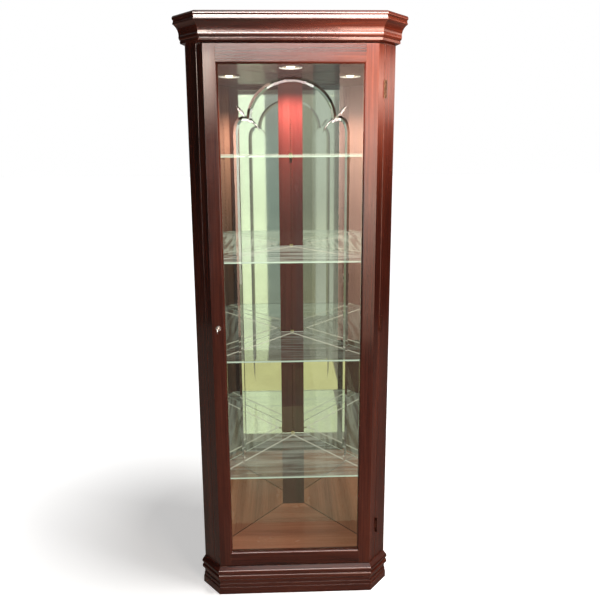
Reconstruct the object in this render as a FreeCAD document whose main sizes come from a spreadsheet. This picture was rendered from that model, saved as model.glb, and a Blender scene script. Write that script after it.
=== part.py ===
"""Corner curio cabinet: a glazed door between two canted sides, four glass shelves before two mirrors.

Plan, seen from above (millimetres, +Z up, X to the right, Y towards the corner of the room).
Two walls meet at 90 degrees behind the cabinet, so every canted face lies at 45 degrees:
a face parallel to a canted side is a line |x| - y = constant, and a face parallel to a wall
is a line |x| + y = constant.  The front plane, shared by the door, the header and the plinth,
is y = 0 while the pieces are drawn, and every piece is then moved by the same amount, which
puts the origin under the middle of the whole cabinet.
"""
import FreeCAD, Part
import os
import Sketcher

ROOT2 = 2 ** 0.5
HALF_MITRE = 2 ** 0.5 - 1          # tangent of 22.5 degrees, half the turn at the front corners

DIMENSIONS = {
    # case
    "cabinet_height": 1934.0,       # floor to the top of the crown
    "front_width": 524.0,           # between the two front arrises
    "side_width": 86.3,             # a canted side, from front arris to wall
    "back_flat_width": 64.2,        # flat back of the rear post
    "panel_thick": 18.0,            # side, floor and top panels, rails
    "board_thick": 3.2,             # plywood back boards
    "board_lap": 9.0,               # back board in the rebate of a side panel
    "post_lap": 18.0,               # back board in the rebate of the rear post
    "mirror_thick": 3.2,
    "mirror_play": 0.5,
    "post_width": 86.6,             # front face of the rear post
    "crown_recess": 6.0,            # case top below the top of the crown
    "floor_rise": 6.5,              # top of the floor panel above the base moulding
    "ceiling_drop": 128.5,          # underside of the top panel below the top of the crown
    "joint_play": 0.2,              # between wooden pieces that butt
    "block_leg": 34.0,              # glue blocks
    "block_long": 60.0,
    # crown moulding, from its underside up, each projection from the face behind it
    "crown_height": 80.5,
    "crown_under_rise": 3.5,
    "crown_fillet_out": 16.5,
    "crown_fillet_high": 6.5,
    "crown_ovolo_out": 21.0,
    "crown_ovolo_high": 13.5,
    "crown_cove_out": 38.0,
    "crown_cove_high": 29.0,
    "crown_bead_out": 41.0,
    "crown_bead_high": 6.0,
    "crown_top_out": 41.5,
    "crown_top_high": 12.5,
    "crown_top_swell": 1.5,         # top bead past its lower edge
    "quirk": 1.6,                   # small grooves between members of a moulding
    # base moulding, from its top down
    "base_height": 102.0,
    "base_slope_high": 8.0,
    "base_bead_out": 12.5,
    "base_bead_high": 13.0,
    "base_neck_out": 10.0,
    "base_neck_high": 7.0,
    "base_torus_out": 12.0,
    "base_torus_high": 15.0,
    "base_scotia_out": 4.5,
    "base_scotia_high": 15.0,
    "base_fascia_high": 7.0,
    "base_step_out": 7.0,
    "base_step_high": 12.0,
    "base_foot_out": 11.0,
    # door
    "door_head_gap": 2.6,           # under the crown
    "door_thick": 21.0,
    "door_gap": 2.4,                # above the base moulding
    "door_back_gap": 1.5,           # between door and case
    "stile_width": 37.0,            # on the face, front arris to moulded edge
    "door_top_width": 52.0,
    "door_bottom_width": 44.0,
    "sticking_width": 6.0,          # moulded inner edge
    "sticking_depth": 8.0,
    "tenon_long": 20.0,
    "tenon_thick": 8.0,
    "tenon_shoulder": 8.0,
    "glass_thick": 4.0,
    "glass_play": 1.0,
    "stop_thick": 7.5,
    "bumper_size": 9.0,
    # grooves in the door glass
    "groove_width": 2.2,
    "groove_depth": 0.6,
    "arch_drop": 143.9,             # springing of the arch below the top of the opening
    "arch_inset": 84.0,             # arch from the moulded edge of the stile
    "arch_rise": 93.0,
    "arch_spacing": 6.0,
    "border_inset": 46.0,
    "shoulder_drop": 190.9,
    "shoulder_rise": 27.0,
    "shoulder_run": 34.0,
    "border_rise": 321.6,           # foot of the border above the bottom of the opening
    # shelves
    "shelf_thick": 5.5,
    "shelf_front_play": 1.0,        # front edge behind the lock
    "shelf_side_play": 2.0,
    "shelf_back_play": 2.0,
    "plate_groove_inset": 38.0,
    "plate_groove_width": 5.0,
    "plate_groove_depth": 1.0,
    "pin_pitch": 14.65,
    "pin_first_rise": 204.4,        # lowest pin holes above the floor panel
    "pin_diameter": 5.0,
    "pin_play": 0.1,
    "pin_hole_depth": 10.0,
    "pin_inset": 15.0,              # holes behind the front edge of a shelf
    "rest_thick": 2.0,
    "rest_reach": 13.0,
    "rest_width": 9.0,
    "shelf_rest_gap": 0.3,
    # hinges
    "hinge_height": 52.0,
    "hinge_end": 129.8,             # middle of an outer hinge from the end of the door
    "hinge_radius": 2.8,
    "hinge_clear": 0.4,             # barrel to the canted faces
    "leaf_thick": 1.2,
    "leaf_recess": 0.6,
    "leaf_width": 22.0,
    "pin_radius": 1.5,
    "pin_running_play": 0.06,
    "knuckle_play": 0.25,
    "hinge_screw_radius": 1.4,
    "hinge_screw_head": 2.6,
    "hinge_screw_long": 10.0,
    "hinge_screw_spacing": 34.0,
    "hinge_screw_inset": 7.0,
    # lock
    "lock_rise": 870.6,             # above the foot of the door
    "lock_inset": 20.5,             # centre behind the door's front arris
    "lock_flange_radius": 8.5,
    "lock_flange_thick": 1.6,
    "lock_barrel_radius": 6.6,
    "lock_barrel_play": 0.1,
    "lock_plug_radius": 4.6,
    "lock_plug_play": 0.06,
    "lock_nut_radius": 10.0,
    "lock_nut_thick": 3.0,
    "cam_gap": 0.4,
    "cam_thick": 2.0,
    "cam_width": 11.0,
    "cam_reach": 34.0,
    "cam_slot_play": 1.5,
    "cam_set_in": 4.5,              # cam behind the front edge of the case
    "cam_screw_radius": 1.5,
    "cam_screw_head": 4.0,
    "cam_screw_head_high": 1.2,
    "key_thick": 1.6,
    "key_blade_high": 6.0,
    "key_blade_long": 18.0,
    "key_shank_long": 14.0,
    "key_shank_radius": 2.2,
    "key_bow_radius": 10.0,
    "key_bow_hole": 5.5,
    "key_play": 0.15,
    # light in the ceiling
    "light_setback": 155.0,
    "light_can_radius": 33.0,
    "light_can_wall": 1.0,
    "light_can_high": 62.0,
    "light_trim_radius": 39.0,
    "light_trim_thick": 2.0,
    "light_hole_play": 0.5,
    "lamp_radius": 25.0,
    "lamp_high": 36.0,
    "lamp_recess": 3.0,
    "socket_radius": 11.0,
    "grommet_radius": 9.0,
    "grommet_bore": 4.0,
    "grommet_drop": 60.0,           # below the top of the case
    "grommet_run": 60.0,
}

COUNTS = {
    "pin_hole_count": 92,
    "shelf_1_hole": 82,             # the hole that each shelf's supports stand in, from the lowest
    "shelf_2_hole": 59,
    "shelf_3_hole": 36,
    "shelf_4_hole": 7,
}

CORNER = 45                         # degrees between the front and a canted side
HALF_TURN = 180                     # degrees


class Size:
    """A length that keeps its formula over the spreadsheet beside its present value."""

    def __init__(self, text, value):
        self.text = text
        self.value = value

    def combined(self, sign, other, value, turned=False):
        texts = [other.text, self.text] if turned else [self.text, other.text]
        return Size("(" + sign.join(texts) + ")", value)

    def __add__(self, other):
        other = size(other)
        return self.combined(" + ", other, self.value + other.value)

    def __radd__(self, other):
        return size(other) + self

    def __sub__(self, other):
        other = size(other)
        return self.combined(" - ", other, self.value - other.value)

    def __rsub__(self, other):
        return size(other) - self

    def __mul__(self, other):
        other = size(other)
        return self.combined(" * ", other, self.value * other.value)

    def __rmul__(self, other):
        return size(other) * self

    def __truediv__(self, other):
        other = size(other)
        return self.combined(" / ", other, self.value / other.value)

    def __neg__(self):
        return 0 - self


def size(number):
    """The Size itself, or a plain number as a Size."""
    return number if isinstance(number, Size) else Size(f"{number:.9g}", float(number))


def make_sheet(document):
    sheet = document.addObject("Spreadsheet::Sheet", "Dimensions")
    for row, (name, number) in enumerate((DIMENSIONS | COUNTS).items(), start=1):
        sheet.set(f"A{row}", name)
        sheet.set(f"B{row}", str(number))
        sheet.setAlias(f"B{row}", name)
    document.recompute()
    return sheet


doc = FreeCAD.newDocument("CornerCurioCabinet")
make_sheet(doc)
D = type("Dimensions", (), {name: Size("Dimensions." + name, float(number))
                            for name, number in (DIMENSIONS | COUNTS).items()})

# ---------------------------------------------------------------- derived planes and places
HALF_FRONT = D.front_width / 2
WALL = HALF_FRONT + ROOT2 * D.side_width                    # |x| + y on the walls
BOARD_FACE = WALL - ROOT2 * D.board_thick                   # front of the back boards
MIRROR_FACE = BOARD_FACE - ROOT2 * D.mirror_thick
SIDE_FACE = HALF_FRONT - ROOT2 * D.panel_thick              # |x| - y inside the side panels
CASE_FRONT = D.door_thick + D.door_back_gap                 # y of the case behind the door
CASE_TOP = D.cabinet_height - D.crown_recess
CROWN_FOOT = D.cabinet_height - D.crown_height
FLOOR = D.base_height + D.floor_rise
CEILING = D.cabinet_height - D.ceiling_drop
CROWN_OUT = D.crown_top_out + D.crown_top_swell
BACK_FLAT = D.back_flat_width / 2
POST_HALF = D.post_width / 2
POST_FRONT = MIRROR_FACE - POST_HALF
BACK_PLANE = WALL - BACK_FLAT
CENTRE_DEPTH = (BACK_PLANE - CROWN_OUT) / 2
DOOR_FOOT = D.base_height + D.door_gap
DOOR_TOP = CROWN_FOOT - D.door_head_gap
OPENING_HALF = HALF_FRONT - D.stile_width
OPENING_FOOT = DOOR_FOOT + D.door_bottom_width
OPENING_TOP = DOOR_TOP - D.door_top_width
SIGHT_HALF = OPENING_HALF - D.sticking_width
SIGHT_FOOT = OPENING_FOOT + D.sticking_width
SIGHT_TOP = OPENING_TOP - D.sticking_width
PIVOT_Y = D.door_thick + D.door_back_gap / 2
PIVOT_X = HALF_FRONT + PIVOT_Y + ROOT2 * (D.hinge_radius + D.hinge_clear)
LOCK_X = D.lock_inset - HALF_FRONT
LOCK_Z = DOOR_FOOT + D.lock_rise
CAM_FRONT = CASE_FRONT + D.cam_set_in
SHELF_FRONT = CAM_FRONT + D.cam_thick + D.cam_screw_head_high + D.shelf_front_play
HINGE_HEIGHTS = {
    "top": DOOR_TOP - D.hinge_end,
    "middle": (DOOR_FOOT + DOOR_TOP) / 2,
    "low": DOOR_FOOT + D.hinge_end,
}
SHELF_HOLES = {1: D.shelf_1_hole, 2: D.shelf_2_hole, 3: D.shelf_3_hole, 4: D.shelf_4_hole}
SIDES = {"left": -1, "right": 1}


# ---------------------------------------------------------------- drawing
class Outline:
    """A closed polygon of (across, up) points; arcs maps an edge to radius / chord, + bulging right."""

    def __init__(self, points, arcs=None):
        self.points = [(size(x), size(y)) for x, y in points]
        self.arcs = arcs or {}

    def draw(self, sketch):
        first = sketch.GeometryCount
        corners = [FreeCAD.Vector(x.value, y.value, 0) for x, y in self.points]
        count = len(corners)
        starts = []
        for edge in range(count):
            here = corners[edge]
            there = corners[(edge + 1) % count]
            if edge in self.arcs:
                curve = arc_between(here, there, self.arcs[edge])
            else:
                curve = Part.LineSegment(here, there)
            sketch.addGeometry(curve, False)
            drawn = sketch.Geometry[first + edge]
            starts.append(1 if (drawn.StartPoint - here).Length < 1e-6 else 2)
        for edge in range(count):
            after = (edge + 1) % count
            sketch.addConstraint(Sketcher.Constraint(
                "Coincident", first + edge, 3 - starts[edge], first + after, starts[after]))
        for edge, (x, y) in enumerate(self.points):
            bind(sketch, Sketcher.Constraint("DistanceX", -1, 1, first + edge, starts[edge], x.value), x)
            bind(sketch, Sketcher.Constraint("DistanceY", -1, 1, first + edge, starts[edge], y.value), y)
        for edge, ratio in self.arcs.items():
            radius = chord(self.points[edge], self.points[(edge + 1) % count]) * abs(ratio)
            bind(sketch, Sketcher.Constraint("Radius", first + edge, radius.value), radius)


class Circle:
    def __init__(self, x, y, radius):
        self.x = size(x)
        self.y = size(y)
        self.radius = size(radius)

    def draw(self, sketch):
        centre = FreeCAD.Vector(self.x.value, self.y.value, 0)
        circle = Part.Circle(centre, FreeCAD.Vector(0, 0, 1), self.radius.value)
        index = sketch.addGeometry(circle, False)
        bind(sketch, Sketcher.Constraint("DistanceX", -1, 1, index, 3, self.x.value), self.x)
        bind(sketch, Sketcher.Constraint("DistanceY", -1, 1, index, 3, self.y.value), self.y)
        bind(sketch, Sketcher.Constraint("Radius", index, self.radius.value), self.radius)


def chord(start, end):
    across = end[0] - start[0]
    up = end[1] - start[1]
    length = (across.value ** 2 + up.value ** 2) ** 0.5
    return Size(f"sqrt({across.text}^2 + {up.text}^2)", length)


def arc_between(start, end, ratio):
    """The minor arc on start and end; a positive ratio bulges to the right of the way there."""
    if ratio < 0:
        start, end = end, start
    along = end - start
    radius = abs(ratio) * along.Length
    leftward = FreeCAD.Vector(-along.y, along.x, 0) / along.Length
    centre = (start + end) / 2 + leftward * (radius ** 2 - along.Length ** 2 / 4) ** 0.5
    circle = Part.Circle(centre, FreeCAD.Vector(0, 0, 1), radius)
    return Part.ArcOfCircle(circle, circle.parameter(start), circle.parameter(end))


def bind(sketch, constraint, value):
    index = sketch.addConstraint(constraint)
    sketch.setExpression(f"Constraints[{index}]", value.text)


def box_outline(x1, x2, y1, y2):
    return Outline([(x1, y1), (x2, y1), (x2, y2), (x1, y2)])


# The axis each origin plane faces, and whether a sketch on it faces back along that axis.
PLANES = {"Z": ("XY_Plane", 1), "Y": ("XZ_Plane", -1), "X": ("YZ_Plane", 1)}


def feature(body, kind, axis, start, end, shapes, draft=0):
    """Pad or pocket the shapes of a sketch square to an axis, from start to end along that axis."""
    role, facing = PLANES[axis]
    start = size(start)
    end = size(end)
    plane = [f for f in body.Origin.OriginFeatures if f.Role == role][0]
    number = len([f for f in body.Group if f.isDerivedFrom("Sketcher::SketchObject")]) + 1
    sketch = body.newObject("Sketcher::SketchObject", f"{body.Label}_sketch_{number}")
    sketch.AttachmentSupport = [(plane, "")]
    sketch.MapMode = "FlatFace"
    offset = start if facing == 1 else -end
    sketch.setExpression("AttachmentOffset.Base.z", offset.text)
    for shape in shapes:
        shape.draw(sketch)
    made = body.newObject("PartDesign::" + kind, f"{body.Label}_{kind.lower()}_{number}")
    made.Profile = sketch
    made.setExpression("Length", (end - start).text)
    made.Reversed = kind == "Pocket"
    made.TaperAngle = draft
    made.Refine = True
    before = body.Shape.Volume if kind == "Pocket" else None
    doc.recompute()
    if before is not None and body.Shape.Volume > before - 1e-6:
        raise RuntimeError(f"{made.Name} cuts nothing")
    return made


def pad(body, axis, start, end, *shapes, draft=0):
    return feature(body, "Pad", axis, start, end, shapes, draft)


def pocket(body, axis, start, end, *shapes, draft=0):
    return feature(body, "Pocket", axis, start, end, shapes, draft)


def new_body(label):
    body = doc.addObject("PartDesign::Body", label)
    body.Label = label
    place(body, 0, 0)
    PIECES.append(body)
    return body


def place(piece, x, y, turn=0):
    """Put a piece's own origin at (x, y) of the plan, turned about Z, in the cabinet's frame."""
    piece.setExpression("Placement.Base.x", size(x).text)
    piece.setExpression("Placement.Base.y", (size(y) - CENTRE_DEPTH).text)
    if turn:
        piece.setExpression("Placement.Rotation.Angle", size(turn).text)


def repeated(body, feature_made, axis, pitch, count):
    """Repeat a feature along an axis of its body."""
    direction = [f for f in body.Origin.OriginFeatures if f.Role == axis + "_Axis"][0]
    pattern = body.newObject("PartDesign::LinearPattern", body.Label + "_row")
    pattern.Originals = [feature_made]
    pattern.Direction = (direction, [""])
    pattern.setExpression("Occurrences", count.text)
    pattern.setExpression("Length", (pitch * (count - 1)).text)
    body.Tip = pattern
    doc.recompute()
    return pattern


PIECES = []
OVERCUT = size(1)                   # a cutter's reach past the surface that it cuts


def meet(side_plane, wall_plane):
    """Plan point where |x| - y = side_plane meets |x| + y = wall_plane, on the right."""
    return (side_plane + wall_plane) / 2, (wall_plane - side_plane) / 2


def side_frame(body, hand):
    """Draw a piece beside a canted side: x runs from the front arris to the wall, -y faces out."""
    place(body, hand * HALF_FRONT, 0, CORNER * hand)


def handed(points, hand):
    return [(hand * size(x), y) for x, y in points]


def in_side_frame(x, y):
    """A plan point on the right, in the frame of the right side."""
    return (x - HALF_FRONT + y) / ROOT2, (y - x + HALF_FRONT) / ROOT2


POST_FLANK = (HALF_FRONT + MIRROR_FACE - 2 * POST_HALF) / ROOT2       # along the wall, from a side


# ---------------------------------------------------------------- case
def pin_height(hole):
    return FLOOR + D.pin_first_rise + hole * D.pin_pitch


def side_panel(name, hand):
    """A canted side: bevelled front edge, rebate for the back board, a row of shelf pin holes."""
    body = new_body(name + "_side_panel")
    side_frame(body, hand)
    front = CASE_FRONT * ROOT2
    rebate = D.side_width - D.board_thick
    section = [(front, 0), (D.side_width, 0), (D.side_width, D.board_lap), (rebate, D.board_lap),
               (rebate, D.panel_thick), (front - D.panel_thick, D.panel_thick)]
    pad(body, "Z", 0, CASE_TOP, Outline(handed(section, hand)))
    hole = pocket(body, "Y", D.panel_thick - D.pin_hole_depth, D.panel_thick,
                  Circle(hand * PIN_RUN, pin_height(0), D.pin_diameter / 2 + D.pin_play))
    repeated(body, hole, "Z", D.pin_pitch, D.pin_hole_count)
    return body


PIN_Y = SHELF_FRONT + D.pin_inset
PIN_X = SIDE_FACE + PIN_Y
PIN_RUN = in_side_frame(PIN_X, PIN_Y)[0]


def hinged_side_panel():
    body = side_panel("right", 1)
    for height in HINGE_HEIGHTS.values():
        recess = [(HINGE_INNER, CASE_FRONT), (HINGE_OUTER, CASE_FRONT),
                  (HINGE_OUTER, CASE_FRONT + D.leaf_recess), (HINGE_INNER, CASE_FRONT + D.leaf_recess)]
        reach = [(x, y - D.leaf_recess) for x, y in recess[:2]] + recess[2:]
        half = D.hinge_height / 2 + D.joint_play
        pocket(body, "Z", height - half, height + half, Outline([in_side_frame(x, y) for x, y in reach]))


HINGE_WEB = PIVOT_X - D.hinge_radius - D.knuckle_play       # where the flat leaf ends
HINGE_INNER = HINGE_WEB - D.leaf_width
HINGE_OUTER = PIVOT_X


def locked_side_panel():
    body = side_panel("left", -1)
    front = CAM_FRONT - D.cam_slot_play
    back = CAM_FRONT + D.cam_thick + D.cam_slot_play
    tip = D.cam_reach - LOCK_X + D.cam_slot_play
    slot = [(SIDE_FACE + front - D.cam_slot_play, front), (tip, front), (tip, back),
            (SIDE_FACE + front - D.cam_slot_play, back)]
    points = handed([in_side_frame(x, y) for x, y in slot], -1)
    pocket(body, "Z", LOCK_Z - D.cam_reach, LOCK_Z + D.cam_width / 2 + D.cam_slot_play,
           Outline(points))


def floor_outline(rear):
    """Plan of the inside of the case, notched round the rear post."""
    side_front = SIDE_FACE + CASE_FRONT
    side_rear = meet(SIDE_FACE, rear)
    flank = (POST_HALF + D.mirror_thick / ROOT2, POST_FRONT + D.mirror_thick / ROOT2)
    right = [(side_front, CASE_FRONT), side_rear, flank, (POST_HALF, POST_FRONT)]
    left = [(-x, y) for x, y in reversed(right)]
    return Outline(right + left)


def floor_panel():
    body = new_body("floor_panel")
    pad(body, "Z", FLOOR - D.panel_thick, FLOOR, floor_outline(BOARD_FACE))


def top_panel():
    body = new_body("top_panel")
    pad(body, "Z", CEILING, CEILING + D.panel_thick, floor_outline(BOARD_FACE))
    pocket(body, "Z", CEILING, CEILING + D.panel_thick,
           Circle(0, D.light_setback, D.light_can_radius + D.light_hole_play))


def face_board(label, foot, top):
    """A board behind a moulding, its face and bevelled ends flush with the door's."""
    body = new_body(label)
    plan = [(-HALF_FRONT, 0), (HALF_FRONT, 0), (HALF_FRONT + CASE_FRONT, CASE_FRONT),
            (-HALF_FRONT - CASE_FRONT, CASE_FRONT)]
    pad(body, "Z", foot, top, Outline(plan))


def top_front_rail():
    body = new_body("top_front_rail")
    inner = SIDE_FACE + CASE_FRONT
    depth = D.panel_thick
    plan = [(-inner, CASE_FRONT), (inner, CASE_FRONT), (inner + depth, CASE_FRONT + depth),
            (-inner - depth, CASE_FRONT + depth)]
    pad(body, "Z", CEILING + D.panel_thick, CASE_TOP, Outline(plan))


def wall_rail(label, hand, foot, top):
    """A rail along a wall, from a side panel to the rear post, that the back board is nailed to."""
    body = new_body(label)
    side_frame(body, hand)
    outer = D.side_width - D.board_thick
    points = [(outer - D.panel_thick, D.panel_thick), (outer, D.panel_thick), (outer, POST_FLANK),
              (outer - D.panel_thick, POST_FLANK)]
    pad(body, "Z", foot, top, Outline(handed(points, hand)))
    return body


def grommet_rail():
    """The left top rail, bored for the grommet and the cord behind it."""
    rail = wall_rail("top_rail_left", -1, CEILING + D.panel_thick, CASE_TOP)
    outer = D.side_width - D.board_thick
    pocket(rail, "X", -outer - OVERCUT, D.panel_thick - outer + OVERCUT,
           Circle(D.grommet_run, CASE_TOP - D.grommet_drop, D.grommet_radius + D.joint_play))


def back_post():
    """Rear post: mirrors butt its flanks, back boards lap its rebates, pin holes run down it."""
    body = new_body("back_post")
    flank = D.mirror_thick / ROOT2
    lap = D.post_lap / ROOT2
    board = D.board_thick / ROOT2
    half = [(POST_HALF, POST_FRONT), (POST_HALF + flank, POST_FRONT + flank),
            (POST_HALF + flank - lap, POST_FRONT + flank + lap),
            (POST_HALF + flank - lap + board, POST_FRONT + flank + lap + board), (BACK_FLAT, BACK_PLANE)]
    pad(body, "Z", 0, CASE_TOP, Outline(half + [(-x, y) for x, y in reversed(half)]))
    hole = pocket(body, "Y", POST_FRONT, POST_FRONT + D.pin_hole_depth,
                  Circle(0, pin_height(0), D.pin_diameter / 2 + D.pin_play))
    repeated(body, hole, "Z", D.pin_pitch, D.pin_hole_count)


def sheet_along_wall(label, hand, front, back, near, far, foot, top):
    body = new_body(label)
    side_frame(body, hand)
    points = [(front, near), (back, near), (back, far), (front, far)]
    pad(body, "Z", foot, top, Outline(handed(points, hand)))
    return body


def back_board(name, hand):
    near = D.board_lap + D.mirror_play
    far = POST_FLANK + D.post_lap - D.mirror_play
    body = sheet_along_wall(name + "_back_board", hand, D.side_width - D.board_thick, D.side_width,
                            near, far, D.quirk, CASE_TOP - D.quirk)
    if hand < 0:
        pocket(body, "X", -D.side_width, D.board_thick - D.side_width,
               Circle(D.grommet_run, CASE_TOP - D.grommet_drop, D.grommet_radius - D.quirk))


def mirror(name, hand):
    face = D.side_width - D.board_thick - D.mirror_thick
    sheet_along_wall(name + "_mirror", hand, face, D.side_width - D.board_thick,
                     D.panel_thick + D.mirror_play, POST_FLANK - D.mirror_play,
                     FLOOR, CEILING - D.mirror_play)


def crown_profile():
    """Right half-plane profile (projection, height), anticlockwise from the foot of the back."""
    foot = CROWN_FOOT
    fillet = foot + D.crown_under_rise
    ovolo = fillet + D.crown_fillet_high
    ovolo_top = ovolo + D.quirk + D.crown_ovolo_high
    cove_top = ovolo_top + D.crown_cove_high
    bead_top = cove_top + D.crown_bead_high
    top_bead = D.cabinet_height - D.crown_top_high
    points = [(0, foot), (D.crown_fillet_out, fillet), (D.crown_fillet_out + 1, ovolo),
              (D.crown_fillet_out - D.quirk / 2, ovolo), (D.crown_fillet_out - D.quirk / 2, ovolo + D.quirk),
              (D.crown_ovolo_out, ovolo_top), (D.crown_cove_out, cove_top), (D.crown_bead_out, bead_top),
              (D.crown_bead_out - D.quirk, bead_top), (D.crown_bead_out - D.quirk, top_bead),
              (D.crown_top_out, top_bead), (D.crown_top_out - 3 * D.quirk, D.cabinet_height),
              (0, D.cabinet_height)]
    return points, {4: 0.75, 5: -0.95, 6: 0.62, 10: 0.62}


def base_profile():
    """Profile of the base moulding, anticlockwise from the foot of the back."""
    step = D.base_height - D.base_slope_high
    bead = step - D.base_bead_high
    neck = bead - D.base_neck_high
    torus = neck - D.base_torus_high
    scotia = torus - D.base_scotia_high
    fascia = scotia - D.base_fascia_high
    ledge = fascia - D.base_step_high
    points = [(0, 0), (D.base_foot_out, 0),
              (D.base_foot_out - D.quirk / 2, ledge), (D.base_step_out + D.quirk / 2, ledge),
              (D.base_step_out, fascia), (D.base_scotia_out, fascia), (D.base_scotia_out, scotia),
              (D.base_torus_out, torus), (D.base_torus_out - D.quirk / 2, neck), (D.base_neck_out, neck),
              (D.base_neck_out, bead), (D.base_bead_out, bead), (D.base_bead_out - D.quirk / 2, step),
              (0, D.base_height)]
    return points, {6: -0.95, 7: 0.72, 11: 0.68}


def front_moulding(label, profile, reach):
    """Front run of a moulding, mitred at both ends."""
    points, arcs = profile
    body = new_body(label)
    end = HALF_FRONT + reach
    pad(body, "X", -end, end, Outline([(-out, up) for out, up in points], {e: -r for e, r in arcs.items()}))
    out = reach + OVERCUT
    for hand in (-1, 1):
        wedge = [(HALF_FRONT - HALF_MITRE * OVERCUT, OVERCUT), (HALF_FRONT + HALF_MITRE * out, -out),
                 (end + OVERCUT, -out), (end + OVERCUT, OVERCUT)]
        pocket(body, "Z", -OVERCUT, D.cabinet_height + OVERCUT, Outline(handed(wedge, hand)))


def side_moulding(label, profile, reach, hand):
    """Side run of a moulding, mitred at the front and cut square at the wall."""
    points, arcs = profile
    body = new_body(label)
    side_frame(body, hand)
    start, end = (-reach, D.side_width) if hand > 0 else (-D.side_width, reach)
    pad(body, "X", start, end, Outline([(-out, up) for out, up in points], {e: -r for e, r in arcs.items()}))
    out = reach + OVERCUT
    wedge = [(HALF_MITRE * OVERCUT, OVERCUT), (-HALF_MITRE * out, -out), (-out, -out), (-out, OVERCUT)]
    pocket(body, "Z", -OVERCUT, D.cabinet_height + OVERCUT, Outline(handed(wedge, hand)))


def glue_blocks():
    """Triangular blocks behind the front corners, under the floor panel and above the top panel."""
    body = new_body("glue_blocks")
    rows = [(FLOOR - D.panel_thick - D.block_long, CASE_FRONT),
            (CEILING + D.panel_thick, CASE_FRONT + D.panel_thick)]
    for foot, front in rows:
        blocks = []
        for hand in (-1, 1):
            corner = SIDE_FACE + front
            plan = [(corner - D.block_leg, front), (corner, front),
                    (corner + D.block_leg / 2, front + D.block_leg / 2)]
            blocks.append(Outline(handed(plan, hand)))
        pad(body, "Z", foot, foot + D.block_long, *blocks)


# ---------------------------------------------------------------- door
def stile(label, hand):
    """Door stile: outer edge bevelled to lie flush with the canted side, moulded and rebated inside."""
    body = new_body(label)
    plan = [(OPENING_HALF, 0), (HALF_FRONT, 0), (HALF_FRONT + D.door_thick, D.door_thick),
            (OPENING_HALF, D.door_thick), (OPENING_HALF, D.sticking_depth), (SIGHT_HALF, D.sticking_depth)]
    ends = {5: 0.8 * hand}
    pad(body, "Z", DOOR_FOOT, DOOR_TOP, Outline(handed(plan, hand), ends))
    for opening, end, out in ((OPENING_TOP, DOOR_TOP, 1), (OPENING_FOOT, DOOR_FOOT, -1)):
        inside = D.sticking_width + OVERCUT
        mitre = [(OPENING_HALF - inside, opening - out * inside), (OPENING_HALF, opening),
                 (OPENING_HALF, end + out * OVERCUT), (OPENING_HALF - inside, end + out * OVERCUT)]
        pocket(body, "Y", -OVERCUT, D.sticking_depth + OVERCUT, Outline(handed(mitre, hand)))
    for foot, top in ((OPENING_TOP, DOOR_TOP), (DOOR_FOOT, OPENING_FOOT)):
        ends = sorted([hand * OPENING_HALF, hand * (OPENING_HALF + D.tenon_long + D.joint_play)],
                      key=lambda end: end.value)
        mouth = box_outline(TENON_FRONT - D.joint_play, TENON_FRONT + D.tenon_thick + D.joint_play,
                            foot + D.tenon_shoulder - D.joint_play, top - D.tenon_shoulder + D.joint_play)
        pocket(body, "X", *ends, mouth)
    return body


TENON_FRONT = D.sticking_depth - 1


def hinge_stile():
    body = stile("hinge_stile", 1)
    for height in HINGE_HEIGHTS.values():
        half = D.hinge_height / 2 + D.joint_play
        recess = box_outline(HINGE_INNER, HINGE_OUTER, D.door_thick - D.leaf_recess, D.door_thick)
        pocket(body, "Z", height - half, height + half, recess)


def lock_stile():
    body = stile("lock_stile", -1)
    pocket(body, "Y", 0, D.door_thick, Circle(LOCK_X, LOCK_Z, D.lock_barrel_radius + D.lock_barrel_play))


def door_rail(label, outer, opening, sight):
    """Door rail between the stiles, mitred moulding on its inner edge, a stub tenon at each end."""
    body = new_body(label)
    section = Outline([(0, opening), (0, outer), (D.door_thick, outer), (D.door_thick, opening),
                       (D.sticking_depth, opening), (D.sticking_depth, sight)],
                      {5: 0.8 if opening.value > outer.value else -0.8})
    pad(body, "X", -OPENING_HALF, OPENING_HALF, section)
    inward = 1 if opening.value > outer.value else -1
    beyond = D.sticking_width + OVERCUT
    for hand in (-1, 1):
        corner = [(OPENING_HALF, opening), (OPENING_HALF + OVERCUT, opening),
                  (OPENING_HALF + OVERCUT, opening + inward * beyond),
                  (OPENING_HALF - beyond, opening + inward * beyond)]
        pocket(body, "Y", -OVERCUT, D.sticking_depth + OVERCUT, Outline(handed(corner, hand)))
    low, high = (outer, opening) if opening.value > outer.value else (opening, outer)
    tenon = box_outline(TENON_FRONT, TENON_FRONT + D.tenon_thick,
                        low + D.tenon_shoulder, high - D.tenon_shoulder)
    pad(body, "X", -OPENING_HALF - D.tenon_long, OPENING_HALF + D.tenon_long, tenon)


def number(name):
    return DIMENSIONS[name]


def groove_line(start, end):
    """Closed plan of a straight groove between two (across, up) points."""
    along = FreeCAD.Vector(end[0] - start[0], 0, end[1] - start[1])
    half = FreeCAD.Vector(-along.z, 0, along.x).normalize() * (number("groove_width") / 2)
    a = FreeCAD.Vector(start[0], 0, start[1])
    b = FreeCAD.Vector(end[0], 0, end[1])
    return Part.Face(Part.makePolygon([a - half, b - half, b + half, a + half, a - half]))


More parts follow.
